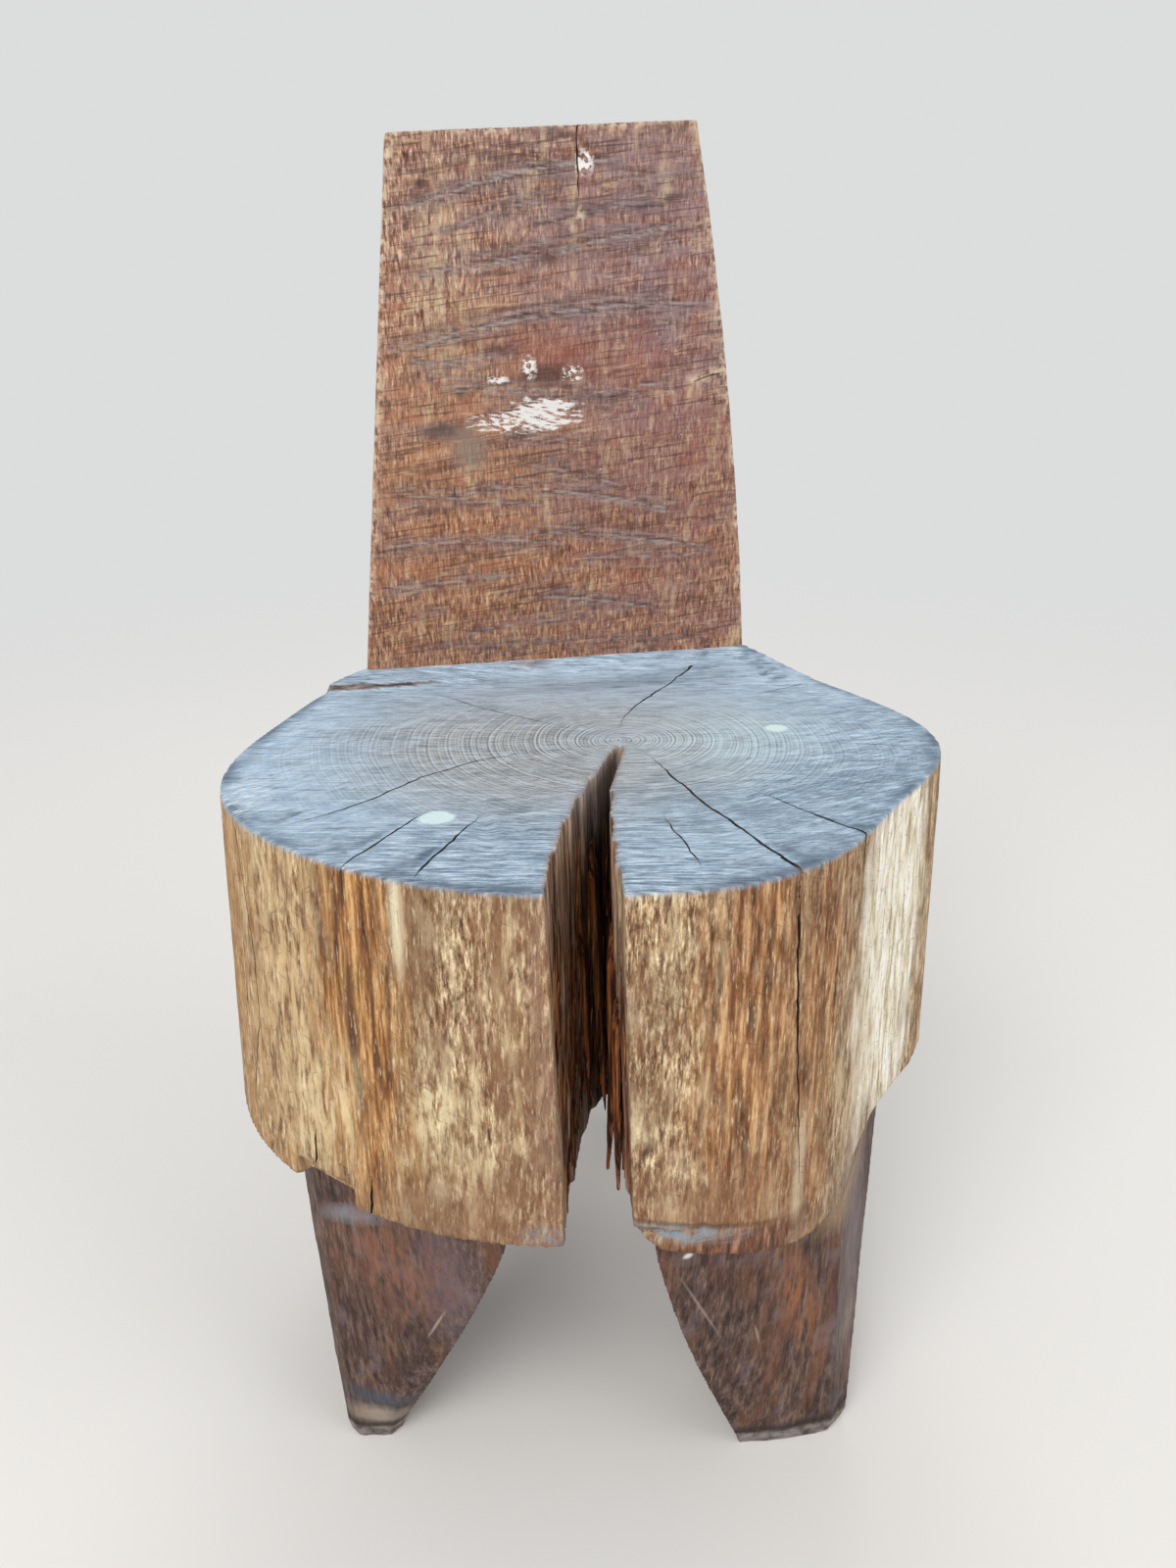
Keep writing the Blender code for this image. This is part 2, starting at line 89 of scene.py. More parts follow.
toneStops = (0.38, 0.455, 0.5, 0.545, 0.62)
spread = 4.0  # a stain's falloff is worked out to this many times its reach
seedStep = 0.037  # how far one seed moves a noise, in metres
rings = dict(waves=14.0, stray=0.012)  # growth rings stray from circles: waves per metre, and metres
levelled = 10000  # a scale that leaves nothing of a coordinate


def spot(colour, centre, reach, strength=1.0, soft=0.6, **look):
    # a stain round one place, in mm
    return dict(look, colour=colour, near=(centre, reach), strength=strength, soft=soft)


def streaks(colour, size, clip, **look):
    # a stain wherever a noise drawn out along the wood is high; size in mm
    return dict(look, colour=colour, size=size, clip=clip)


def on(zone, stains):
    # the same stains, kept to one zone of a piece
    return [dict(stain, within=(zone, *stain.get("within", ()))) for stain in stains]


def woodPlaces(tree, pith):
    # log: plain object coordinates; pith: distance from the log's heart in metres, a little wavy.
    # Links join sockets of one kind only: hidden conversions run last, and would hold every stain
    # in memory till then.
    place = addNode(tree, "ShaderNodeTexCoord").outputs["Object"]
    wander = addNode(tree, "ShaderNodeTexNoise", {"Vector": place, "Scale": rings["waves"], "Detail": 1.0})
    flat = addNode(tree, "ShaderNodeMapping", {"Vector": place, "Location": (*pith, 0),
                   "Scale": (1, 1, levelled)}, vector_type="TEXTURE")
    inner = addNode(tree, "ShaderNodeTexGradient", {"Vector": flat}, gradient_type="SPHERICAL").outputs["Fac"]
    radius = addNode(tree, "ShaderNodeMath", {0: 1.0, 1: inner}, operation="SUBTRACT")
    wavy = addNode(tree, "ShaderNodeMath", {0: wander, 1: rings["stray"], 2: radius},
                   operation="MULTIPLY_ADD")
    return {"log": place, "pith": wavy}


def grain(tree, places, look):
    # noise drawn out along the wood: size is one streak in mm, turn its slant in degrees,
    # fine the noise's detail and roughness
    detail, rough = look.get("fine", (3, 0.6))
    fine = {"Scale": 1.0, "Detail": detail, "Roughness": rough}
    seed = look.get("seed", 0)
    if look.get("follow") == "pith":
        ring = addNode(tree, "ShaderNodeMath", {0: places["pith"], 1: 1 / (look["size"][0] * mm),
                       2: float(seed)}, operation="MULTIPLY_ADD")
        return addNode(tree, "ShaderNodeTexNoise", dict(fine, W=ring), noise_dimensions="1D")
    shift = seed * seedStep
    drawn = addNode(tree, "ShaderNodeMapping", {
        "Vector": places["log"], "Location": (shift, shift * 0.7, shift * 0.3),
        "Rotation": [math.radians(a) for a in look.get("turn", (0, 0, 0))],
        "Scale": [s * mm for s in look["size"]]}, vector_type="TEXTURE")
    return addNode(tree, "ShaderNodeTexNoise", dict(fine, Vector=drawn))


def stainColour(tree, places, stain):
    if isinstance(stain["colour"], str):
        return paint(stain["colour"])
    picked = addNode(tree, "ShaderNodeValToRGB", {"Fac": grain(tree, places, stain)})
    stops = picked.color_ramp.elements
    stops[0].position, stops[1].position = toneStops[0], toneStops[-1]
    for stop in toneStops[1:-1]:
        stops.new(stop)
    for stop, code in zip(stops, stain["colour"]):
        stop.color = paint(code)
    return picked.outputs[0]


def cover(tree, places, look):
    # how strongly a stain or relief shows at each point, from 0 to 1
    parts = []
    if "clip" in look:
        low, high = look["clip"]
        parts.append(addNode(tree, "ShaderNodeMapRange", {"Value": grain(tree, places, look), "From Min": low,
                             "From Max": high}))
    if "near" in look:
        centre, reach = look["near"]
        soft, fray = look["soft"], look.get("fray", 0.8)
        away = addNode(tree, "ShaderNodeMapping", {
            "Vector": places["log"], "Location": [c * mm for c in centre],
            "Scale": [r * mm * spread for r in reach],
            "Rotation": [math.radians(a) for a in look.get("lie", (0, 0, 0))]}, vector_type="TEXTURE")
        inner = addNode(tree, "ShaderNodeTexGradient", {"Vector": away},
                        gradient_type="SPHERICAL").outputs["Fac"]
        far = addNode(tree, "ShaderNodeMath", {0: inner, 1: -spread, 2: spread}, operation="MULTIPLY_ADD")
        ragged = addNode(tree, "ShaderNodeTexNoise", {
            "Vector": away, "Scale": look.get("ragged", 2.5) * spread, "Detail": 4.0})
        edge = addNode(tree, "ShaderNodeMath", {0: ragged, 1: fray, 2: far}, operation="MULTIPLY_ADD")
        middle = 1.0 + fray / 2
        parts.append(addNode(tree, "ShaderNodeMapRange", {"Value": edge, "From Min": middle + soft,
                             "From Max": middle - soft}))
    for name in look.get("within", ()):
        parts.append(addNode(tree, "ShaderNodeAttribute", attribute_name=name).outputs["Fac"])
    total = look.get("strength", 1.0)
    for part in parts:
        total = addNode(tree, "ShaderNodeMath", {0: part, 1: total}, operation="MULTIPLY")
    return total


def woodMaterial(name, stains, relief, roughness, pith=(0, 0)):
    material = bpy.data.materials.new(name)
    material.use_nodes = True
    tree = material.node_tree
    shader = tree.nodes["Principled BSDF"]
    places = woodPlaces(tree, pith)
    colour = stainColour(tree, places, stains[0])
    for stain in stains[1:]:
        colour = addNode(tree, "ShaderNodeMix", {0: cover(tree, places, stain), 6: colour,
                         7: stainColour(tree, places, stain)}, data_type="RGBA").outputs[2]
    tree.links.new(colour, shader.inputs["Base Color"])
    height = 0.0
    for look in relief:
        rise = addNode(tree, "ShaderNodeMath", {0: grain(tree, places, look), 1: cover(tree, places, look)},
                       operation="MULTIPLY")
        height = addNode(tree, "ShaderNodeMath", {0: rise, 1: look["depth"], 2: height},
                         operation="MULTIPLY_ADD")
    bump = addNode(tree, "ShaderNodeBump", {"Strength": 1.0, "Distance": mm, "Height": height})
    tree.links.new(bump.outputs[0], shader.inputs["Normal"])
    dull = addNode(tree, "ShaderNodeMapRange", {
        "Value": grain(tree, places, relief[0]), "From Min": 0.3, "From Max": 0.7,
        "To Min": roughness[0], "To Max": roughness[1]})
    tree.links.new(dull.outputs[0], shader.inputs["Roughness"])
    shader.inputs["Specular IOR Level"].default_value = 0.3
    return material


# Mesh helpers

weld = 0.002 * mm  # points closer than this are one point
bladeStep = 4 * mm  # between the points of a crack's path
bladeAbove = 4 * mm  # how far a blade stands out of the surface


def newPiece(name, mesh):
    piece = bpy.data.objects.new(name, mesh)
    scene.collection.objects.link(piece)
    return piece


def copyNode(node, name, merge):
    # a merged copy of a CAD node; a merge wider than a check closes it
    shape = bmesh.new()
    shape.from_mesh(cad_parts[node].data)
    bmesh.ops.remove_doubles(shape, verts=shape.verts, dist=merge)
    mesh = bpy.data.meshes.new(name)
    shape.to_mesh(mesh)
    shape.free()
    mesh.materials.clear()
    return newPiece(name, mesh)


def bake(piece):
    graph = bpy.context.evaluated_depsgraph_get()
    mesh = bpy.data.meshes.new_from_object(piece.evaluated_get(graph), preserve_all_data_layers=True,
                                           depsgraph=graph)
    piece.modifiers.clear()
    piece.data = mesh


def remesh(piece, voxel):
    modifier = piece.modifiers.new("even mesh", "REMESH")
    modifier.mode = "VOXEL"
    modifier.voxel_size = voxel
    bake(piece)


def thin(piece, most):
    # collapses edges, flat parts first, down to a number of triangles
    count = sum(len(p.vertices) - 2 for p in piece.data.polygons)
    modifier = piece.modifiers.new("thin", "DECIMATE")
    modifier.ratio = min(1.0, most / count)
    modifier.use_collapse_triangulate = True
    bake(piece)


def keepLargest(piece):
    # drops the closed pockets that a remesh leaves behind in a narrow check
    shape = bmesh.new()
    shape.from_mesh(piece.data)
    shape.verts.ensure_lookup_table()
    seen, best = [False] * len(shape.verts), []
    for start in shape.verts:
        if seen[start.index]:
            continue
        seen[start.index] = True
        island, front = [start], [start]
        while front:
            vertex = front.pop()
            for edge in vertex.link_edges:
                other = edge.other_vert(vertex)
                if not seen[other.index]:
                    seen[other.index] = True
                    island.append(other)
                    front.append(other)
        best = max(best, island, key=len)
    kept = set(best)
    bmesh.ops.delete(shape, geom=[v for v in shape.verts if v not in kept], context="VERTS")
    shape.to_mesh(piece.data)
    shape.free()


def cut(piece, blades):
    # faces that come from a blade lose the skin, so that their colour can differ
    skin = piece.data.attributes.new("skin", "FLOAT", "FACE")
    skin.data.foreach_set("value", np.ones(len(piece.data.polygons), np.float32))
    modifier = piece.modifiers.new("cut", "BOOLEAN")
    modifier.operation = "DIFFERENCE"
    modifier.solver = "MANIFOLD"
    modifier.object = blades
    bake(piece)
    bpy.data.objects.remove(blades)
    left = np.zeros(len(piece.data.polygons), np.float32)
    piece.data.attributes["skin"].data.foreach_get("value", left)
    wall = piece.data.attributes.new("crackWall", "FLOAT", "FACE")
    wall.data.foreach_set("value", 1 - left)
    return left


def points(piece):
    # each point's place, and its normal from the faces that no blade has made
    mesh = piece.data
    place = np.zeros(len(mesh.vertices) * 3)
    mesh.vertices.foreach_get("co", place)
    corners, starts = np.zeros(len(mesh.loops), np.int32), np.zeros(len(mesh.polygons), np.int32)
    mesh.loops.foreach_get("vertex_index", corners)
    mesh.polygons.foreach_get("loop_start", starts)
    facing, area, skin = np.zeros(len(starts) * 3), np.zeros(len(starts)), np.ones(len(starts), np.float32)
    mesh.polygons.foreach_get("normal", facing)
    mesh.polygons.foreach_get("area", area)
    if "skin" in mesh.attributes:
        mesh.attributes["skin"].data.foreach_get("value", skin)
    sizes = np.diff(np.append(starts, len(corners)))
    weighted = facing.reshape(-1, 3) * (area * np.maximum(skin, 1e-6))[:, None]
    normal = np.zeros((len(mesh.vertices), 3))
    np.add.at(normal, corners, np.repeat(weighted, sizes, axis=0))
    normal /= np.maximum(np.linalg.norm(normal, axis=1), 1e-12)[:, None]
    return place.reshape(-1, 3), normal


def ramp(value, low, high):
    share = np.clip((value - low) / (high - low), 0, 1)
    return share * share * (3 - 2 * share)


def store(piece, name, values, rounds=1):
    # one number per point, evened out along the edges
    edges = np.zeros(len(piece.data.edges) * 2, np.int32)
    piece.data.edges.foreach_get("vertices", edges)
    edges = edges.reshape(-1, 2)
    degree = np.bincount(edges.ravel(), minlength=len(values)) + 1
    for _ in range(rounds):
        total = values.copy()
        np.add.at(total, edges[:, 0], values[edges[:, 1]])
        np.add.at(total, edges[:, 1], values[edges[:, 0]])
        values = total / degree
    attribute = piece.data.attributes.new(name, "FLOAT", "POINT")
    attribute.data.foreach_set("value", values.astype(np.float32))


def blades(name, cracks, rng):
    # thin wedges along paths over a surface; inward points into the wood
    shape = bmesh.new()
    for crack in cracks:
        path = [Vector(p) * mm for p in crack["path"]]
        inward = Vector(crack["inward"]).normalized()
        fine = []
        for a, b in zip(path, path[1:]):
            steps = max(2, int((b - a).length / bladeStep))
            fine += [a.lerp(b, i / steps) for i in range(steps)]
        fine.append(path[-1])
        rings = []
        for i, point in enumerate(fine):
            t = i / (len(fine) - 1)
            along = fine[min(i + 1, len(fine) - 1)] - fine[max(i - 1, 0)]
            across = along.cross(inward).normalized()
            gape = min(1.0, t / crack.get("fadeIn", 0.25))
            gape *= min(1.0, (1 - t) / max(crack.get("fadeOut", 0.25), 1e-4))
            half = across * (crack["width"] * mm / 2 * max(gape, 0.12) * rng.uniform(0.7, 1.25))
            middle = point + across * (rng.uniform(-0.5, 0.5) * mm)
            first, last = crack["depth"]
            deep = inward * ((first + (last - first) * t) * mm)
            above = inward * -bladeAbove
            root = half * crack.get("root", 0.3)
            rings.append([shape.verts.new(p) for p in (middle - half + above, middle + half + above,
                          middle + root + deep, middle - root + deep)])
        for near, far in zip(rings, rings[1:]):
            for j in range(4):
                k = (j + 1) % 4
                shape.faces.new((near[j], near[k], far[k], far[j]))
        shape.faces.new(list(reversed(rings[0])))
        shape.faces.new(rings[-1])
    bmesh.ops.recalc_face_normals(shape, faces=shape.faces)
    bmesh.ops.triangulate(shape, faces=shape.faces)
    mesh = bpy.data.meshes.new(name)
    shape.to_mesh(mesh)
    shape.free()
    return newPiece(name, mesh)


# Geometry Nodes trees

def startTree(name, sockets):
    tree = bpy.data.node_groups.new(name, "GeometryNodeTree")
    tree.interface.new_socket("Geometry", in_out="OUTPUT", socket_type="NodeSocketGeometry")
    tree.interface.new_socket("Geometry", in_out="INPUT", socket_type="NodeSocketGeometry")
    for label, kind in sockets.items():
        tree.interface.new_socket(label, in_out="INPUT", socket_type="NodeSocket" + kind)
    tree.interface.new_socket("Finish", in_out="INPUT", socket_type="NodeSocketMaterial")
    return tree, addNode(tree, "NodeGroupInput").outputs


def endTree(tree, given, geometry):
    whole = addNode(tree, "GeometryNodeRealizeInstances", {"Geometry": geometry})
    finished = addNode(tree, "GeometryNodeSetMaterial", {"Geometry": whole, "Material": given["Finish"]})
    addNode(tree, "NodeGroupOutput", {0: finished})
    return tree


def runTree(piece, tree, settings):
    modifier = piece.modifiers.new(tree.name, "NODES")
    modifier.node_group = tree
    for item in tree.interface.items_tree:
        if item.in_out == "INPUT" and item.name in settings:
            modifier[item.identifier] = settings[item.name]
    bake(piece)


def reliefTree():
    # long fibres on the upright faces and broad hewn ripples, pushed along the normals
    tree, given = startTree("hewn relief", {
        "Fibre Depth": "Float", "Fibre Size": "Vector", "Ripple Depth": "Float", "Ripple Size": "Vector",
        "Top Share": "Float", "Seed": "Float"})
    place = addNode(tree, "GeometryNodeInputPosition")
    normal = addNode(tree, "GeometryNodeInputNormal")
    lift = addNode(tree, "ShaderNodeSeparateXYZ", {0: normal}).outputs[2]
    level = addNode(tree, "ShaderNodeMath", {0: lift}, operation="ABSOLUTE")
    upright = addNode(tree, "ShaderNodeMath", {0: 1.0, 1: level}, operation="SUBTRACT", use_clamp=True)
    calm = addNode(tree, "ShaderNodeMapRange", {
        "Value": lift, "From Min": 0.5, "From Max": 0.9, "To Min": 1.0, "To Max": given["Top Share"]})
    total = 0.0
    for label, share in (("Fibre", upright), ("Ripple", calm)):
        scaled = addNode(tree, "ShaderNodeVectorMath", {0: place, 1: given[label + " Size"]},
                         operation="DIVIDE")
        noise = addNode(tree, "ShaderNodeTexNoise", {
            "Vector": scaled, "W": given["Seed"], "Scale": 1.0, "Detail": 2.0}, noise_dimensions="4D")
        swing = addNode(tree, "ShaderNodeMath", {0: noise, 1: 0.5}, operation="SUBTRACT")
        weight = addNode(tree, "ShaderNodeMath", {0: given[label + " Depth"], 1: share}, operation="MULTIPLY")
        total = addNode(tree, "ShaderNodeMath", {0: swing, 1: weight, 2: total}, operation="MULTIPLY_ADD")
    push = addNode(tree, "ShaderNodeVectorMath", {0: normal, "Scale": total}, operation="SCALE")
    moved = addNode(tree, "GeometryNodeSetPosition", {"Geometry": given["Geometry"], "Offset": push})
    return endTree(tree, given, moved)


def sawTree():
    # grooves along drawn strokes: a thin line inside a wider bruised band, both kept for the colour
    tree, given = startTree("saw strokes", {"Strokes": "Object", "Line Width": "Float", "Band Width": "Float",
                            "Depth": "Float", "Wander": "Float", "Seed": "Float"})
    place = addNode(tree, "GeometryNodeInputPosition")
    normal = addNode(tree, "GeometryNodeInputNormal")
    facing = addNode(tree, "ShaderNodeSeparateXYZ", {0: normal}).outputs[1]
    front = addNode(tree, "ShaderNodeMapRange", {"Value": facing, "From Min": -0.5, "From Max": -0.9})
    shake = addNode(tree, "ShaderNodeTexNoise", {
        "Vector": place, "W": given["Seed"], "Scale": 70.0, "Detail": 3.0},
        noise_dimensions="4D").outputs["Color"]
    swing = addNode(tree, "ShaderNodeVectorMath", {0: shake, 1: (0.5, 0.5, 0.5)}, operation="SUBTRACT")
    moved = addNode(tree, "ShaderNodeVectorMath", {0: swing, "Scale": given["Wander"]}, operation="SCALE")
    shaken = addNode(tree, "ShaderNodeVectorMath", {0: place, 1: moved}, operation="ADD")
    flat = addNode(tree, "ShaderNodeVectorMath", {0: shaken, 1: (1, 0, 1)}, operation="MULTIPLY")
    wires = addNode(tree, "GeometryNodeObjectInfo", {"Object": given["Strokes"]}).outputs["Geometry"]
    away = addNode(tree, "GeometryNodeProximity", {"Geometry": wires, "Sample Position": flat},
                   target_element="EDGES").outputs["Distance"]
    index = addNode(tree, "GeometryNodeSampleNearest", {"Geometry": wires, "Sample Position": flat})
    geometry, marks = given["Geometry"], {}
    for label, share in (("Line", "lineShare"), ("Band", "bandShare")):
        own = addNode(tree, "GeometryNodeInputNamedAttribute", {"Name": share}, data_type="FLOAT")
        weight = addNode(tree, "GeometryNodeSampleIndex", {"Geometry": wires, "Value": own, "Index": index},
                         data_type="FLOAT", domain="POINT")
        close = addNode(tree, "ShaderNodeMapRange", {"Value": away, "From Min": given[label + " Width"],
                        "From Max": 0.0}, interpolation_type="SMOOTHSTEP")
        seen = addNode(tree, "ShaderNodeMath", {0: close, 1: weight}, operation="MULTIPLY")
        marks[label] = addNode(tree, "ShaderNodeMath", {0: seen, 1: front}, operation="MULTIPLY")
        geometry = addNode(tree, "GeometryNodeStoreNamedAttribute", {
            "Geometry": geometry, "Name": "saw" + label, "Value": marks[label]},
            domain="POINT", data_type="FLOAT")
    deep = addNode(tree, "ShaderNodeMath", {0: marks["Line"], 1: given["Depth"]}, operation="MULTIPLY")
    push = addNode(tree, "ShaderNodeVectorMath", {0: normal, "Scale": deep}, operation="SCALE")
    sunk = addNode(tree, "ShaderNodeVectorMath", {0: push, 1: (-1, -1, -1)}, operation="MULTIPLY")
    grooved = addNode(tree, "GeometryNodeSetPosition", {"Geometry": geometry, "Offset": sunk})
    return endTree(tree, given, grooved)


def fibreTree():
    # torn slivers that stand along the grain on the split's walls
    tree, given = startTree("torn fibres", {
        "Density": "Float", "Shortest": "Vector", "Longest": "Vector", "Tilt": "Float", "Seed": "Int"})
    torn = addNode(tree, "GeometryNodeInputNamedAttribute", {"Name": "tornFibres"}, data_type="FLOAT")
    dense = addNode(tree, "ShaderNodeMath", {0: torn, 1: given["Density"]}, operation="MULTIPLY")
    spots = addNode(tree, "GeometryNodeDistributePointsOnFaces", {"Mesh": given["Geometry"], "Density": dense,
                    "Seed": given["Seed"]}, distribute_method="RANDOM").outputs["Points"]
    sliver = addNode(tree, "GeometryNodeMeshCone", {"Vertices": 5, "Side Segments": 3, "Radius Top": 0.12,
                     "Radius Bottom": 0.5, "Depth": 1.0}, fill_type="NGON").outputs["Mesh"]
    size = addNode(tree, "FunctionNodeRandomValue", {
        0: given["Shortest"], 1: given["Longest"], "Seed": given["Seed"]}, data_type="FLOAT_VECTOR")
    tilt = addNode(tree, "ShaderNodeMath", {0: given["Tilt"], 1: -1.0}, operation="MULTIPLY")
    least = addNode(tree, "ShaderNodeCombineXYZ", {0: tilt, 1: tilt, 2: 0.0})
    most = addNode(tree, "ShaderNodeCombineXYZ", {0: given["Tilt"], 1: given["Tilt"], 2: 6.28})
    flip = addNode(tree, "FunctionNodeRandomValue", {0: least, 1: most, "Seed": given["Seed"]},
                   data_type="FLOAT_VECTOR")
    placed = addNode(tree, "GeometryNodeInstanceOnPoints", {
        "Points": spots, "Instance": sliver, "Rotation": flip, "Scale": size})
    return endTree(tree, given, placed)


relief = reliefTree()


# Seat drum: stripped log sides, weathered sawn end grain on top, torn heartwood in the split

pith = (0.0195, -0.0048)
drum = dict(
    merge=1.6 * mm,
    voxel=1.6 * mm,
    triangles=180000,
    seat=0.383,
    backFace=0.1366,
    mouth=(-0.0317, -0.1848),  # where the split opens to the front
    splitHalf=0.036,  # no wall of the split is farther from its middle
    level=(0.45, 0.75),  # shares of the normal between which a face turns level
    relief={"Fibre Depth": 1.3 * mm, "Fibre Size": (0.006, 0.006, 0.09), "Ripple Depth": 1.3 * mm,
            "Ripple Size": (0.04, 0.04, 0.07), "Top Share": 0.35, "Seed": 3.0},
    checks=[  # paths over the seat, widths and depths, in mm
        dict(path=[(25, -19), (29, -38), (33, -66), (37, -84), (40, -103), (47, -125), (54, -153), (64, -184),
                   (67, -200)],
             width=1.6, depth=(8, 30), fadeIn=0.3, fadeOut=0),
        dict(path=[(22, 19), (26, 33), (37, 53), (50, 71), (75, 105), (113, 143)], width=1.6,
             depth=(6, 12)),
        dict(path=[(65, -82), (78, -106), (90, -127), (105, -149), (113, -163)], width=1.5, depth=(5, 24),
             fadeIn=0.4, fadeOut=0),
        dict(path=[(17, -112), (18, -127), (20, -144), (21, -168)], width=1.1, depth=(5, 8)),
        dict(path=[(130, 16), (152, 21), (171, 26)], width=0.9, depth=(4, 6)),
        dict(path=[(117, 64), (136, 73), (157, 83)], width=0.9, depth=(4, 6)),
        dict(path=[(133, -29), (158, -36), (183, -44)], width=0.9, depth=(4, 6)),
        dict(path=[(-33, -13), (-66, -27), (-92, -44), (-116, -69), (-136, -85), (-159, -97)], width=1.6,
             depth=(5, 8)),
        dict(path=[(-84, 103), (-52, 62), (-22, 33), (2, 14)], width=1.1, depth=(5, 7)),
        dict(path=[(-90, -88), (-103, -105), (-120, -130), (-131, -146)], width=1.3, depth=(6, 12),
             fadeOut=0.12),
        dict(path=[(-65, -94), (-79, -120), (-91, -142), (-99, -159)], width=1.4, depth=(6, 12),
             fadeIn=0.4, fadeOut=0.12),
        dict(path=[(-171, -44), (-162, -46), (-154, -48)], width=0.7, depth=(4, 4)),
    ],
    sideCracks=[
        dict(path=[(61, -177, 386), (63, -177, 340), (67, -175, 285), (72, -173, 237), (76, -170, 194)],
             inward=(-0.35, 0.94, 0), width=1.5, depth=(14, 6), fadeIn=0.01, fadeOut=0.6, root=0.7),
        dict(path=[(-181, -80, 384), (-178, -86, 352), (-176, -92, 315), (-177, -92, 280), (-182, -84, 247),
                   (-187, -75, 216)],
             inward=(0.9, 0.43, 0), width=0.9, depth=(5, 4), fadeIn=0.05, root=0.6),
        dict(path=[(-126, -149, 226), (-127, -148, 210), (-127, -147, 192)], inward=(0.65, 0.76, 0),
             width=1.5, depth=(8, 8), fadeOut=0.01, root=0.7),
        dict(path=[(-153, -126, 238), (-153, -126, 227), (-154, -125, 217)], inward=(0.77, 0.63, 0),
             width=1.7, depth=(6, 6), root=0.7),
    ],
)

sapwoodTones = ("#4a3424", "#836649", "#a68866", "#c4a67f", "#f6e2bb")
redBandTones = ("#43250f", "#734424", "#905d38", "#ab7b51", "#d9ad7a")

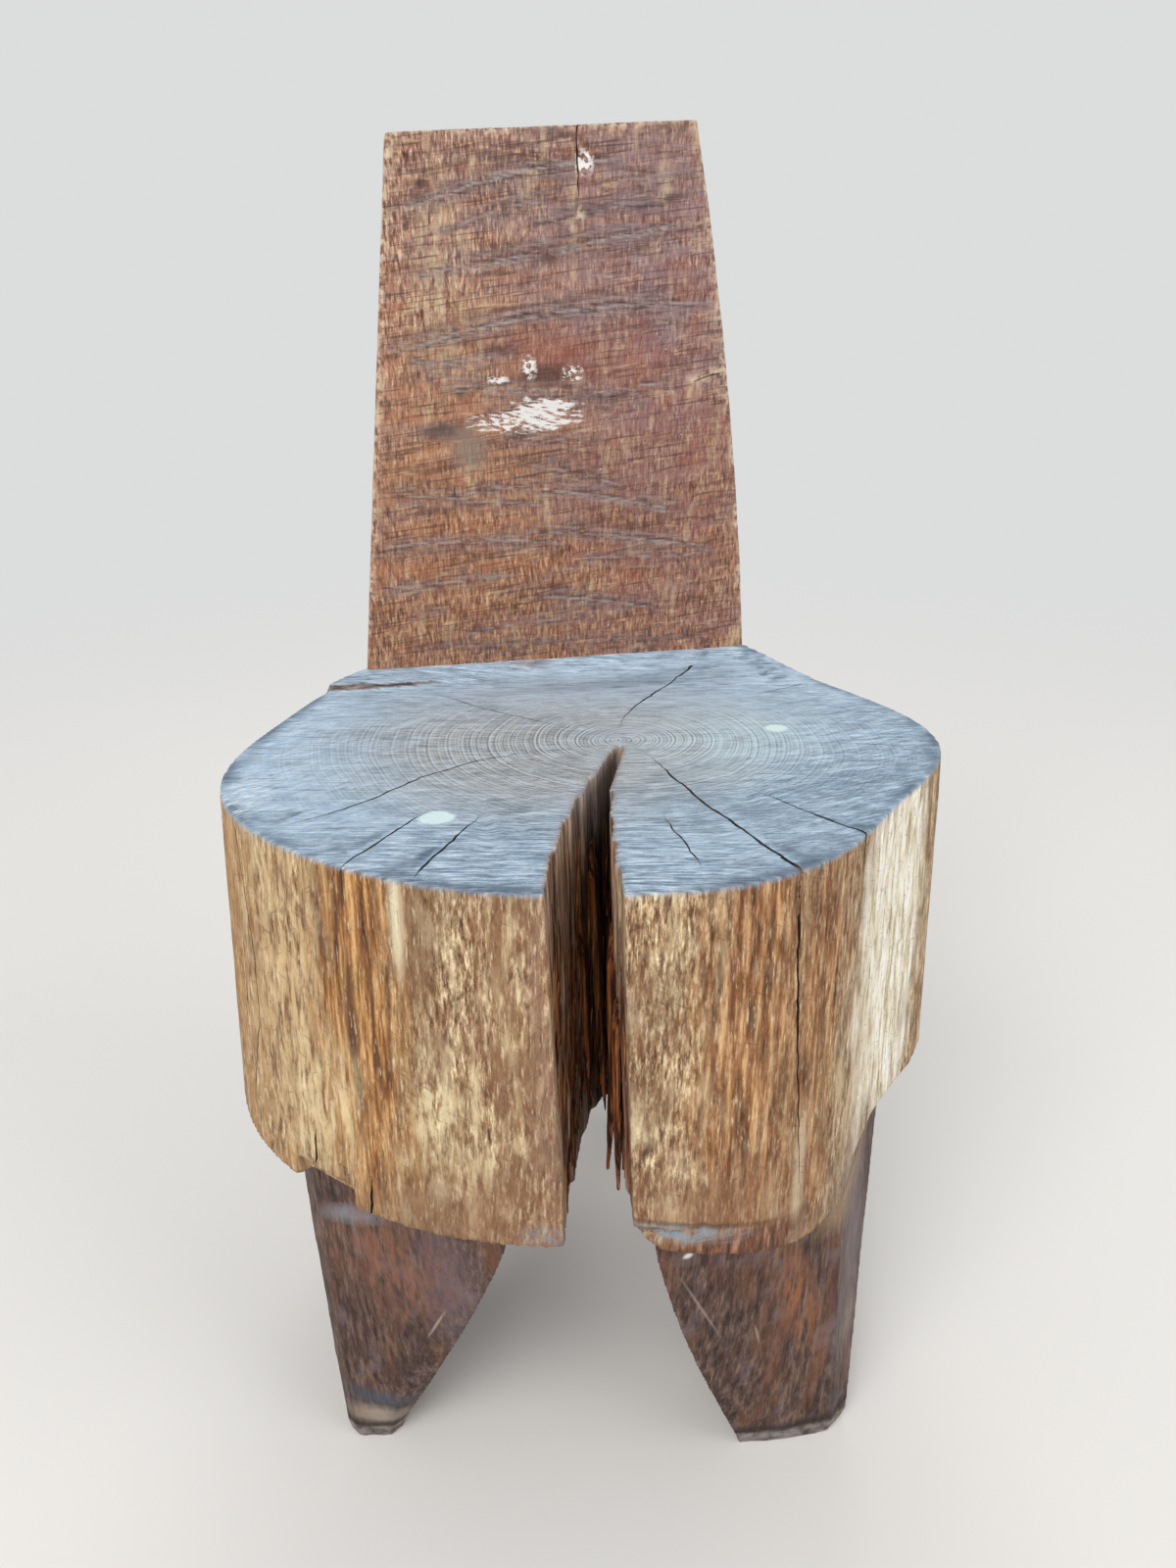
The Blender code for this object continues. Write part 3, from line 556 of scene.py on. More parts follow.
sideStains = [
    # stripped sapwood side: tan, cream and red-brown streaks along the grain, rubbed and stained
    dict(colour=sapwoodTones, size=(1.9, 1.9, 9), seed=1, fine=(5, 0.72)),
    streaks("#94683f", (26, 26, 120), (0.5, 0.66), seed=2, strength=0.5),
    streaks("#7c6347", (26, 26, 40), (0.46, 0.62), seed=14, strength=0.6, fine=(5, 0.6)),
    streaks("#ecd8b0", (13, 13, 26), (0.52, 0.7), seed=15, strength=0.55, fine=(5, 0.62)),
    streaks("#7b563a", (9, 9, 90), (0.54, 0.68), seed=3, strength=0.6),
    streaks("#845a3e", (13, 13, 24), (0.46, 0.64), seed=18, strength=0.6, fine=(5, 0.62)),
    streaks("#e5cfa4", (8, 8, 46), (0.55, 0.70), seed=4, strength=0.7),
    spot("#8a5a38", (0, 130, 300), (230, 150, 300), 0.6, clip=(0.52, 0.62), size=(20, 20, 300), seed=24,
         fine=(5, 0.65)),
    # broad bands that run down the side, from left to right
    spot("#dfc08e", (-152, -118, 305), (36, 60, 120), 0.75, soft=0.8, clip=(0.4, 0.56), size=(4, 4, 24),
         seed=19),
    spot("#b7834d", (-184, -62, 290), (22, 45, 110), 0.7, soft=0.35, clip=(0.38, 0.6), size=(6, 6, 60),
         seed=20),
    spot(("#43240f", "#74441f", "#94602f", "#b07d48", "#dcae72"), (-126, -147, 325), (21, 40, 130), 0.9,
         soft=0.5, fray=1.4, ragged=3.5, size=(4, 4, 46), seed=21, fine=(7, 0.7)),
    spot("#eee2c0", (-107, -160, 366), (2.6, 25, 24), 0.8),
    spot("#7b5c3f", (-98, -165, 350), (6, 25, 44), 0.7),
    spot("#ecd6a8", (-144, -131, 262), (15, 30, 26), 0.85, soft=0.7, clip=(0.42, 0.58), size=(5, 5, 22),
         seed=23),
    spot("#f0dfb4", (-94, -167, 276), (8, 25, 22), 0.75, soft=0.8, clip=(0.46, 0.6), size=(4, 4, 14),
         seed=24),
    spot("#5a3d2b", (-130, -143, 315), (3, 20, 24), 0.75),
    spot("#8b6548", (-63, -179, 315), (13, 30, 110), 0.7, soft=0.7, clip=(0.4, 0.6), size=(6, 6, 40),
         seed=22),
    spot("#8c6a58", (-47, -184, 300), (7, 18, 105), 0.8, clip=(0.36, 0.56), size=(4, 4, 40), seed=25),
    spot(redBandTones, (42, -184, 318), (25, 40, 125), 0.85, fray=1.6, ragged=4.0, size=(4, 4, 40),
         seed=26, fine=(7, 0.7)),
    spot(redBandTones, (80, -166, 300), (14, 40, 120), 0.75, fray=1.4, ragged=4.0, size=(4, 4, 40),
         seed=27, fine=(7, 0.7)),
    spot(("#9c8765", "#d9cbad", "#f0e6cf", "#faf4e4", "#ffffff"), (137, -115, 312), (33, 55, 120),
         soft=0.3, fray=1.5, ragged=4.0, size=(4, 4, 34), seed=28, fine=(7, 0.78)),
    spot("#e9dcc0", (113, -141, 252), (15, 35, 42), 0.8, soft=0.7, clip=(0.38, 0.6), size=(4, 4, 30),
         seed=29),
    spot("#d9ccae", (73, -172, 214), (3, 20, 34), 0.8),
    spot("#877469", (116, -138, 182), (24, 34, 22), 0.65, soft=0.7),
    # worm tracks, crazing and rubs; finer than a millimetre on the log, drawn a little coarser to show
    streaks("#f6e4bd", (1.3, 1.3, 9), (0.58, 0.72), seed=30, strength=0.55),
    streaks("#3d291b", (1.2, 1.2, 10), (0.59, 0.7), seed=31, strength=0.6),
    streaks("#4a3322", (12, 12, 1.1), (0.63, 0.72), turn=(0, 28, 0), seed=32, strength=0.5),
    streaks("#4a3322", (12, 12, 1.1), (0.63, 0.72), turn=(0, -42, 0), seed=33, strength=0.45),
    # saw kerf and hewn strip along the lower rim
    spot("#84624a", (-85, -170, 196), (62, 50, 26), 0.6, soft=0.8, fray=1.2),
    spot("#8a5f45", (20, -184, 212), (80, 40, 22), 0.5, soft=0.8, fray=1.2),
    spot(("#3d241a", "#5f3d2e", "#714a38", "#835a46", "#a97e66"), (26, -184, 189), (62, 30, 13), 0.92,
         soft=0.25, fray=0.5, size=(3, 3, 20), seed=36, fine=(7, 0.72)),
    spot("#3b2a20", (18, -186, 211), (40, 22, 1.4), 0.6, lie=(0, 15, 0)),
    spot("#8595a0", (13, -187, 207), (28, 22, 4), 0.85, lie=(0, 15, 0), clip=(0.36, 0.56), size=(9, 9, 3),
         seed=35),
    spot("#858a90", (-46, -184, 209), (12, 22, 5), 0.7, soft=0.7, clip=(0.36, 0.56), size=(6, 6, 4),
         seed=36),
    spot("#a87345", (-166, -110, 209), (9, 14, 11), 0.7, clip=(0.42, 0.58), size=(3, 3, 12), seed=34),
    spot("#8a4f2c", (-140, -136, 196), (17, 18, 6), 0.85, soft=0.5),
]

# weathered end grain: grey from weathering with a painted blue sky reflection over it, beige about the heart,
# saw scratches left to right
seatWeatherAndSkyReflection = on("endGrain", [
    dict(colour=("#627588", "#8ea5ba", "#a4bcd0", "#b8cee1", "#eaf7ff"), size=(13, 1.3, 60),
         turn=(0, 0, -9), seed=6, fine=(6, 0.74)),
    spot(("#7a93ad", "#a5c1da", "#b9d5ed", "#cce6f9", "#f6feff"), (-150, -22, 383), (58, 78, 400), 0.85,
         soft=0.7, size=(11, 1.3, 60), turn=(0, 0, 32), seed=5, fine=(6, 0.74)),
    spot(("#566b80", "#839fb6", "#9cb7cc", "#b4cee1", "#ebf8ff"), (115, -70, 383), (85, 100, 400), 0.85,
         soft=0.7, size=(13, 1.3, 60), turn=(0, 0, 17), seed=37, fine=(6, 0.74)),
    spot(("#7c766c", "#aba69e", "#c3bfb8", "#d6d3ce", "#f8f7f4"), (-22, -4, 383), (104, 84, 400), 0.75,
         soft=0.4, fray=0.7, size=(11, 1.3, 60), turn=(0, 0, -9), seed=7, fine=(6, 0.74)),
    streaks("#7a8a98", (34, 14, 90), (0.5, 0.62), turn=(0, 0, -9), seed=8, strength=0.6, fine=(6, 0.72)),
    spot("#64768a", (120, -62, 383), (66, 74, 400), 0.65, soft=0.9, clip=(0.47, 0.6), size=(30, 8, 60),
         turn=(0, 0, 17), seed=22, fine=(6, 0.72)),
    spot("#b9d2e6", (-150, -40, 383), (46, 60, 400), 0.6, soft=0.8, clip=(0.38, 0.6), size=(30, 3, 60),
         turn=(0, 0, -9), seed=9),
    spot("#d8eff8", (68, -6, 383), (58, 48, 400), 0.8, soft=0.7, clip=(0.3, 0.56), size=(14, 5, 60),
         turn=(0, 0, 10), seed=23, fine=(6, 0.72)),
    spot("#6d6a66", (4, -5, 383), (110, 88, 400), 0.6, follow="pith", size=(1.25,), clip=(0.47, 0.57),
         seed=8, fine=(1, 0.6)),
    spot("#e3ecf2", (4, -5, 383), (125, 100, 400), 0.6, follow="pith", size=(1.25,), clip=(0.53, 0.64),
         seed=9, fine=(1, 0.6)),
    streaks("#d6e6f2", (8, 6, 60), (0.53, 0.66), seed=20, strength=0.45, fine=(6, 0.75)),
    spot("#c6d9ea", (20, 95, 383), (150, 42, 400), 0.85, soft=0.8, clip=(0.36, 0.58), size=(20, 3, 60),
         seed=21),
    spot("#667585", (44, 101, 383), (64, 9, 400), 0.5, soft=0.9, lie=(0, 0, 6), fray=1.4),
    streaks("#e2f1fb", (26, 1.1, 60), (0.58, 0.70), turn=(0, 0, -9), seed=10, strength=0.7),
    streaks("#46535f", (30, 1.1, 60), (0.58, 0.70), turn=(0, 0, -7), seed=11, strength=0.65),
    streaks("#4a5c70", (30, 30, 30), (0.38, 0.58), seed=12, within=("rimBand",), strength=0.75),
    spot("#edf6fb", (-176, -56, 383), (12, 26, 30), 0.9, soft=0.3, clip=(0.52, 0.60), size=(9, 1.2, 30),
         turn=(0, 0, 24), seed=13),
    spot("#e6fcfc", (-87, -97, 383), (8.5, 7.2, 30), soft=0.12, fray=0.5),
    spot("#e2f6f4", (107, 0, 383), (6.5, 6, 30), soft=0.2, fray=0.7),
    spot("#d3e4ec", (-42, -99, 383), (9, 1.5, 30), 0.8, soft=0.4, fray=0.6, lie=(0, 0, -6)),
    spot("#d8e8f2", (-98, 40, 383), (20, 2.4, 30), 0.5, fray=1.2, lie=(0, 0, 42)),
])

# torn heartwood on the split's walls; the near-black deep inside, towards the heart, is painted shade
splitStains = on("splitWall", [
    dict(colour=("#2e1e14", "#7c5f4b", "#a6866f", "#bd9f86", "#e0c8ae"), size=(2.4, 2.4, 70), seed=14,
         fine=(6, 0.7)),
    streaks("#a65f2a", (3, 3, 60), (0.58, 0.68), seed=15, strength=0.6),
    spot("#8f9196", (8, -50, 378), (34, 52, 26), 0.8, clip=(0.38, 0.56), size=(2, 2, 30), seed=38),
    spot("#5a2a14", (7, -95, 270), (9, 100, 140), 0.95, soft=0.3, lie=(0, 0, -11), fray=0.2,
         clip=(0.3, 0.55), size=(2.4, 2.4, 70), seed=41),
])

drumStains = [
    *sideStains,
    *seatWeatherAndSkyReflection,
    # painted shadow: dark tones on the riser of the step at the back of the seat
    dict(colour=("#33241d", "#564239", "#6a554b", "#7d6a61", "#9c8d86"), size=(14, 14, 1.6), seed=17,
         within=("riser",), strength=0.95, fine=(6, 0.7)),
    *splitStains,
    # painted shade: near-black deep in the split, towards the heart
    dict(colour="#0c0805", within=("splitDeepShade",), strength=0.95),
    # hewn underside
    dict(colour=("#2a1b13", "#4c3425", "#5f4330", "#76563d", "#a07a55"), size=(10, 10, 10), seed=16,
         within=("underside",), fine=(6, 0.7)),
    # painted shade: the walls inside the cracks near black
    dict(colour="#1c130d", within=("crackWall",), strength=0.9),
]

drumRelief = [
    dict(size=(1.9, 1.9, 9), seed=1, depth=1.0, fine=(5, 0.72)),
    dict(size=(1.1, 1.1, 7), seed=31, depth=0.5),
    dict(size=(13, 1.3, 60), turn=(0, 0, -9), seed=6, depth=0.7, within=("endGrain",), fine=(6, 0.74)),
]

# weathered hardwood log, sawn across and stripped of bark: dry and matt, so the grain carries the look
drumWood = woodMaterial("weatheredHardwoodLog", drumStains, drumRelief, (0.95, 0.75), pith)

rng = random.Random(7)
seatDrum = copyNode("seat_drum", "seatDrum", drum["merge"])
remesh(seatDrum, drum["voxel"])
keepLargest(seatDrum)
runTree(seatDrum, relief, dict(drum["relief"], Finish=drumWood))
thin(seatDrum, drum["triangles"])
cracks = [dict(c, inward=(0, 0, -1), path=[(x, y, drum["seat"] / mm) for x, y in c["path"]])
          for c in drum["checks"]]
skinned = cut(seatDrum, blades("checkBlades", cracks + drum["sideCracks"], rng))
print("seat drum:", len(seatDrum.data.polygons), "faces,", int((skinned < 0.5).sum()), "of them in cracks")


def drumZones(piece):
    # which skin each point belongs to: end grain, split wall, underside; the rest is log side.
    # Ramps over places are in metres, ramps over normals in shares of one.
    place, normal = points(piece)
    seat = drum["seat"]
    rim = np.array([v.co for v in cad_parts["seat_drum"].data.vertices])
    rim = rim[(rim[:, 2] > seat - mm) & (np.hypot(rim[:, 0], rim[:, 1]) > 0.15)]
    order = np.argsort(np.arctan2(rim[:, 1], rim[:, 0]))
    angle = np.arctan2(place[:, 1], place[:, 0])
    outline = np.interp(angle, np.arctan2(rim[:, 1], rim[:, 0])[order], np.hypot(rim[:, 0], rim[:, 1])[order],
                        period=2 * math.pi)
    inside = outline - np.hypot(place[:, 0], place[:, 1])
    ahead = 1 - ramp(place[:, 1], drum["backFace"] + 0.001, drum["backFace"] + 0.004)
    top = ahead * ramp(normal[:, 2], *drum["level"]) * ramp(place[:, 2], seat - 0.020, seat - 0.008)
    mouth, heart = np.array(drum["mouth"]), np.array(pith)
    along = (mouth - heart) / np.linalg.norm(mouth - heart)
    across = np.array([along[1], -along[0]])
    share = (place[:, :2] - heart) @ along / np.linalg.norm(mouth - heart)
    aside = (place[:, :2] - heart) @ across
    facing = np.abs(normal[:, :2] @ across)
    wall = ramp(facing, 0.45, 0.7) * (np.abs(aside) < drum["splitHalf"]) * (share > -0.05)
    wall = wall * ramp(inside, 0.002, 0.006)
    under = ramp(-normal[:, 2], *drum["level"])
    # painted shade deep in the split: away from the mouth and below the top, with a ragged edge
    torn = 0.05 * np.sin(place[:, 0] * 2100) * np.sin(place[:, 1] * 1700)
    deep = wall * ramp(0.52 - share + torn, 0.0, 0.12) * (1 - ramp(place[:, 2], seat - 0.045, seat - 0.012))
    store(piece, "endGrain", top)
    store(piece, "splitWall", wall)
    store(piece, "splitDeepShade", deep)
    store(piece, "underside", under)
    # the riser of the step at the back of the seat, where its shadow is painted
    step = (place[:, 1] > 0.07) * ramp(place[:, 2], seat - 0.001, seat + 0.0005)
    step = step * (1 - ramp(normal[:, 2], 0.6, 0.9))
    store(piece, "riser", ahead * step * ramp(inside, -0.004, 0.002), 0)
    store(piece, "rimBand", 1 - ramp(inside, 0.001, 0.010), 0)
    fibrous = wall * (np.abs(aside) < 0.022 + 0.004 * share) * (share > 0.1)
    store(piece, "tornFibres", fibrous * (place[:, 2] < seat - 0.062), 0)


drumZones(seatDrum)


# Back: rough-sawn face, stripped log behind

back = dict(
    foot=0.41,  # below this the back stands in the seat
    sink=3 * mm,  # and reaches this much deeper, so that no seam shows through
    voxel=1.35 * mm,
    triangles=180000,
    relief={"Fibre Depth": 0.5 * mm, "Fibre Size": (0.004, 0.02, 0.04), "Ripple Depth": 1.2 * mm,
            "Ripple Size": (0.035, 0.035, 0.03), "Top Share": 1.0, "Seed": 11.0},
    saw={"Line Width": 1.5 * mm, "Band Width": 6.5 * mm, "Depth": 0.4 * mm, "Wander": 2.4 * mm, "Seed": 5.0},
    strokes=[
        # ends across the face, bow, and how strong the line and the bruise beside it are; x and z in mm
        ((-90, 650), (48, 681), 7, 1.0, 0.9), ((-66, 640), (2, 660), 3, 0.8, 0.6),
        ((-16, 646), (85, 661), 3, 0.4, 1.0), ((36, 669), (86, 677), 0, 0.6, 0.4),
        ((-88, 618), (90, 651), -1, 1.0, 0.8), ((-98, 576), (101, 605), 9, 1.0, 0.9),
        ((-87, 575), (-15, 585), -7, 0.8, 0.5), ((-76, 562), (79, 562), -5, 0.8, 0.7),
        ((-71, 559), (71, 556), -4, 0.5, 0.8), ((-33, 533), (32, 526), -1, 0.7, 0.5),
        ((-19, 515), (47, 499), 1, 0.8, 0.6), ((-110, 499), (-4, 489), 0, 0.8, 0.6),
        ((-50, 502), (88, 482), 3, 0.9, 0.8), ((-20, 473), (107, 459), 2, 0.9, 0.8),
        ((-111, 465), (12, 464), 4, 0.9, 0.6), ((15, 457), (108, 456), -1, 0.7, 0.5),
        ((-113, 439), (-21, 447), 0, 0.8, 0.6), ((-18, 432), (74, 419), 3, 0.9, 0.7),
        ((-62, 408), (26, 418), 2, 0.7, 0.5), ((-95, 423), (-66, 424), 0, 0.6, 0.3),
        ((-96, 402), (110, 402), 0, 0.4, 0.6),
    ],
    cracks=[
        dict(path=[(16, 137, 706), (16, 137, 685), (17, 137, 664), (16, 137, 646)], inward=(0, 1, 0),
             width=0.9, depth=(14, 3), fadeIn=0.01, fadeOut=0.5, root=0.6),
        dict(path=[(86, 137, 561), (95, 137, 564), (107, 137, 567)], inward=(0, 1, 0), width=0.8,
             depth=(3, 3), fadeOut=0.05, root=0.6),
    ],
)

backStains = [
    # red-brown heartwood, tan fibres up the face, violet-grey weathering, and a painted violet-grey sky sheen
    # at the upper right
    dict(colour=("#4a2c21", "#845b4c", "#a57867", "#be9077", "#ecceae"), size=(1.6, 6, 8), seed=40,
         fine=(5, 0.7)),
    spot(("#3f2013", "#754630", "#986144", "#b87e58", "#e4b78a"), (10, 137, 450), (170, 60, 105), 0.8,
         soft=0.8, size=(1.6, 6, 8), seed=41, fine=(5, 0.7)),
    spot(("#442824", "#73504a", "#8e6862", "#a37f77", "#cfb0a2"), (62, 137, 600), (62, 40, 115), 0.75,
         soft=0.8, size=(1.6, 6, 7), seed=39, fine=(5, 0.7)),
    spot("#5f4226", (18, 137, 681), (80, 20, 16), 0.75, soft=0.7, clip=(0.48, 0.6), size=(50, 20, 4),
         turn=(0, 4, 0), seed=38),
    streaks("#8d7b80", (60, 30, 14), (0.48, 0.66), turn=(0, -9, 0), seed=42, strength=0.35),
    # painted reflection: the violet-grey sheen of the sky over the face's upper right
    spot("#9a8b92", (50, 137, 645), (75, 40, 70), 0.6, soft=0.9, clip=(0.4, 0.6), size=(24, 20, 7),
         seed=43),
    streaks("#a05a3e", (24, 30, 34), (0.54, 0.70), seed=44, strength=0.5),
    spot("#b8794e", (-50, 137, 500), (75, 40, 150), 0.55, soft=0.9, clip=(0.48, 0.6), size=(34, 20, 7),
         turn=(0, -4, 0), seed=63, fine=(6, 0.7)),
    spot("#c08d68", (-60, 137, 515), (55, 40, 70), 0.45, soft=0.9, clip=(0.4, 0.6), size=(14, 20, 9),
         seed=68, fine=(5, 0.6)),
    spot("#955f5c", (70, 137, 540), (46, 40, 170), 0.5, soft=0.9, clip=(0.4, 0.6), size=(16, 20, 20),
         seed=64, fine=(5, 0.6)),
    streaks("#56372f", (40, 20, 5), (0.53, 0.63), turn=(0, -8, 0), seed=65, strength=0.55, fine=(6, 0.7)),
    streaks("#d6b793", (18, 20, 4), (0.57, 0.68), turn=(0, -6, 0), seed=66, strength=0.55, fine=(6, 0.7)),
    spot("#d2bb98", (-64, 137, 615), (12, 40, 42), 0.8, soft=0.8, clip=(0.42, 0.58), size=(4, 8, 12),
         seed=45),
    streaks("#d9bd98", (9, 20, 30), (0.58, 0.72), seed=46, strength=0.6),
    # torn fibre ends, finer than a millimetre on the wood, drawn coarser to show
    streaks("#e6c9a2", (1.0, 6, 7), (0.58, 0.72), seed=47, strength=0.5),
    streaks("#47281d", (1.0, 6, 7), (0.58, 0.7), seed=48, strength=0.6),
    streaks("#543c38", (30, 20, 1.2), (0.56, 0.66), turn=(0, -8, 0), seed=49, strength=0.65),
    # saw strokes
    streaks("#6f5c60", (20, 20, 3), (0.36, 0.56), seed=50, within=("sawBand",), strength=0.8),
    streaks("#503a36", (9, 20, 2), (0.46, 0.58), seed=51, within=("sawBand",), strength=0.7),
    streaks("#3f2a25", (16, 20, 1.3), (0.52, 0.6), seed=67, within=("sawBand",), strength=0.85),
    streaks("#b0a5a2", (8, 20, 2), (0.4, 0.54), seed=52, within=("sawLine",), strength=0.9),
    # knots, a smudge and old paint
    spot("#4a3230", (-72, 137, 667), (4, 14, 2.5), 0.8, soft=0.4),
    spot("#4a3230", (-1, 137, 630), (7, 14, 3), 0.6),
    spot("#4a3230", (-30, 137, 580), (9, 14, 3), 0.6),
    spot("#8c4a3b", (4, 137, 577), (27, 14, 12), 0.5, soft=0.7),
    spot("#47332f", (-3, 137, 566), (15, 14, 5), 0.7),
    spot("#5a4b49", (-66, 137, 534), (15, 14, 5), 0.8, soft=0.5, fray=1.0),
    spot("#8d7d70", (-50, 137, 524), (11, 14, 12), 0.7, soft=0.5, fray=1.4, ragged=3.5),
    spot("#efe9e4", (-4, 137, 544), (20, 14, 9), 0.95, soft=0.1, fray=1.8, ragged=2.2, size=(9, 20, 1.7),
         turn=(0, 7, 0), clip=(0.43, 0.49), seed=53),
    spot("#efe9e4", (-22, 137, 539), (26, 14, 6), 0.95, soft=0.2, fray=1.6, ragged=3.0, size=(6, 20, 1.6),
         turn=(0, 5, 0), clip=(0.5, 0.54), seed=54),
    spot("#efe9e4", (-32, 137, 563), (6, 14, 2), soft=0.3, fray=1.2, size=(4, 20, 2), clip=(0.45, 0.5),
         seed=55),
    spot("#efe9e4", (-13, 137, 570), (4, 14, 6), soft=0.3, fray=1.4, size=(3, 20, 2), clip=(0.48, 0.53),
         seed=56),
    spot("#efe9e4", (13, 137, 566), (6, 14, 5), soft=0.3, fray=1.4, size=(3, 20, 2), clip=(0.50, 0.55),
         seed=57),
    spot("#f3ede8", (20, 137, 679), (5, 14, 6), soft=0.3, fray=1.2, size=(3, 20, 3), clip=(0.46, 0.51),
         seed=58),
    streaks("#f3ede8", (3, 20, 2.2), (0.74, 0.77), seed=59, strength=0.8),
    # stripped log surface behind
    dict(colour=sapwoodTones, size=(1.9, 1.9, 9), seed=1, within=("logSide",), fine=(5, 0.72)),
    streaks("#7c6347", (26, 26, 40), (0.48, 0.62), seed=14, within=("logSide",), strength=0.55,
            fine=(6, 0.7)),
    streaks("#8a5a38", (20, 20, 300), (0.52, 0.62), seed=24, within=("logSide",), strength=0.6,
            fine=(5, 0.65)),
    # worn pale arrises
    streaks("#e8d3b6", (4, 4, 5), (0.46, 0.58), seed=62, within=("arris",), strength=0.85),
    # painted shade: the walls inside the cracks near black
    dict(colour="#1f1511", within=("crackWall",), strength=0.9),
]
backRelief = [
    dict(size=(1.9, 6, 10), seed=40, depth=1.2, fine=(7, 0.8)),
    dict(size=(26, 20, 1.3), turn=(0, -8, 0), seed=49, depth=0.5),
]

# hardwood heartwood, rough-sawn: torn fibres up the face and shallow saw strokes across it
backWood = woodMaterial("roughSawnHeartwood", backStains, backRelief, (0.9, 0.65))


def strokeWires(strokes):
    # bowed lines on the plane y = 0, each point with its stroke's strengths
    shape = bmesh.new()
    steps, fadeSteps = 24, 3
    lineShare = shape.verts.layers.float.new("lineShare")
    bandShare = shape.verts.layers.float.new("bandShare")
    for (x0, z0), (x1, z1), bow, line, band in strokes:
        for slip, share in ((0, 1.0), (rng.uniform(2, 5), 0.5), (-rng.uniform(2, 5), 0.4)):
            start, end = (rng.uniform(-0.06, 0.2), rng.uniform(0.8, 1.06)) if slip else (0, 1)
            last = None
            for i in range(steps + 1):
                t = start + (end - start) * i / steps
                fade = share * min(1.0, i / fadeSteps, (steps - i) / fadeSteps)
                point = shape.verts.new((mm * (x0 + (x1 - x0) * t), 0,
                                         mm * (z0 + slip + (z1 - z0) * t + bow * 4 * t * (1 - t))))
                point[lineShare], point[bandShare] = line * fade, band * fade
                if last:
                    shape.edges.new((last, point))
                last = point
    mesh = bpy.data.meshes.new("sawStrokes")
    shape.to_mesh(mesh)
    shape.free()
    return newPiece("sawStrokes", mesh)


backSlab = copyNode("back_slab", "backSlab", weld)
for vertex in backSlab.data.vertices:
    if vertex.co.z < back["foot"]:
        vertex.co.z -= back["sink"]
remesh(backSlab, back["voxel"])
runTree(backSlab, relief, dict(back["relief"], Finish=backWood))
wires = strokeWires(back["strokes"])
runTree(backSlab, sawTree(), dict(back["saw"], Strokes=wires, Finish=backWood))
bpy.data.objects.remove(wires)
thin(backSlab, back["triangles"])
cut(backSlab, blades("backBlades", back["cracks"], rng))
print("back:", len(backSlab.data.polygons), "faces")


def backZones(piece):
    place, normal = points(piece)
    front = ramp(-normal[:, 1], 0.5, 0.8)
    behind = place[:, 1] - drum["backFace"]
    side = ramp(normal[:, 1], -0.1, 0.35) * (behind > 0.002)
    edge = (1 - front) * ramp(0.007 - behind, 0, 0.003)
    cell = 4 * mm
    cells = [(int(x / cell), int(z / cell)) for x, y, z in place]
    rimCells = {each for each, share in zip(cells, edge) if share > 0.5}
    above = place[:, 2] > back["foot"]
    near = np.array([1.0 if each in rimCells else 0.0 for each in cells]) * (behind < 0.006) * above
    store(piece, "logSide", side)
    store(piece, "arris", np.maximum(edge * above, near * 0.8), 2)


backZones(backSlab)


# Legs: hewn faces of dark wood, darkened further by painted shade from the drum above, grey and worn at the
# feet

legs = dict(
    voxel=1.5 * mm,
    relief={"Fibre Depth": 0.4 * mm, "Fibre Size": (0.006, 0.006, 0.05), "Ripple Depth": 1.1 * mm,
            "Ripple Size": (0.03, 0.03, 0.04), "Top Share": 0.2, "Seed": 17.0},
    rise=3 * mm,  # each top goes this far into the drum, so that no seam shows through
    worn=(0.009, 0.013),  # heights between which the foot's wear fades out
    groove=((0.009, 0.012), (0.014, 0.020)),  # where the dark line above it fades in and out
)

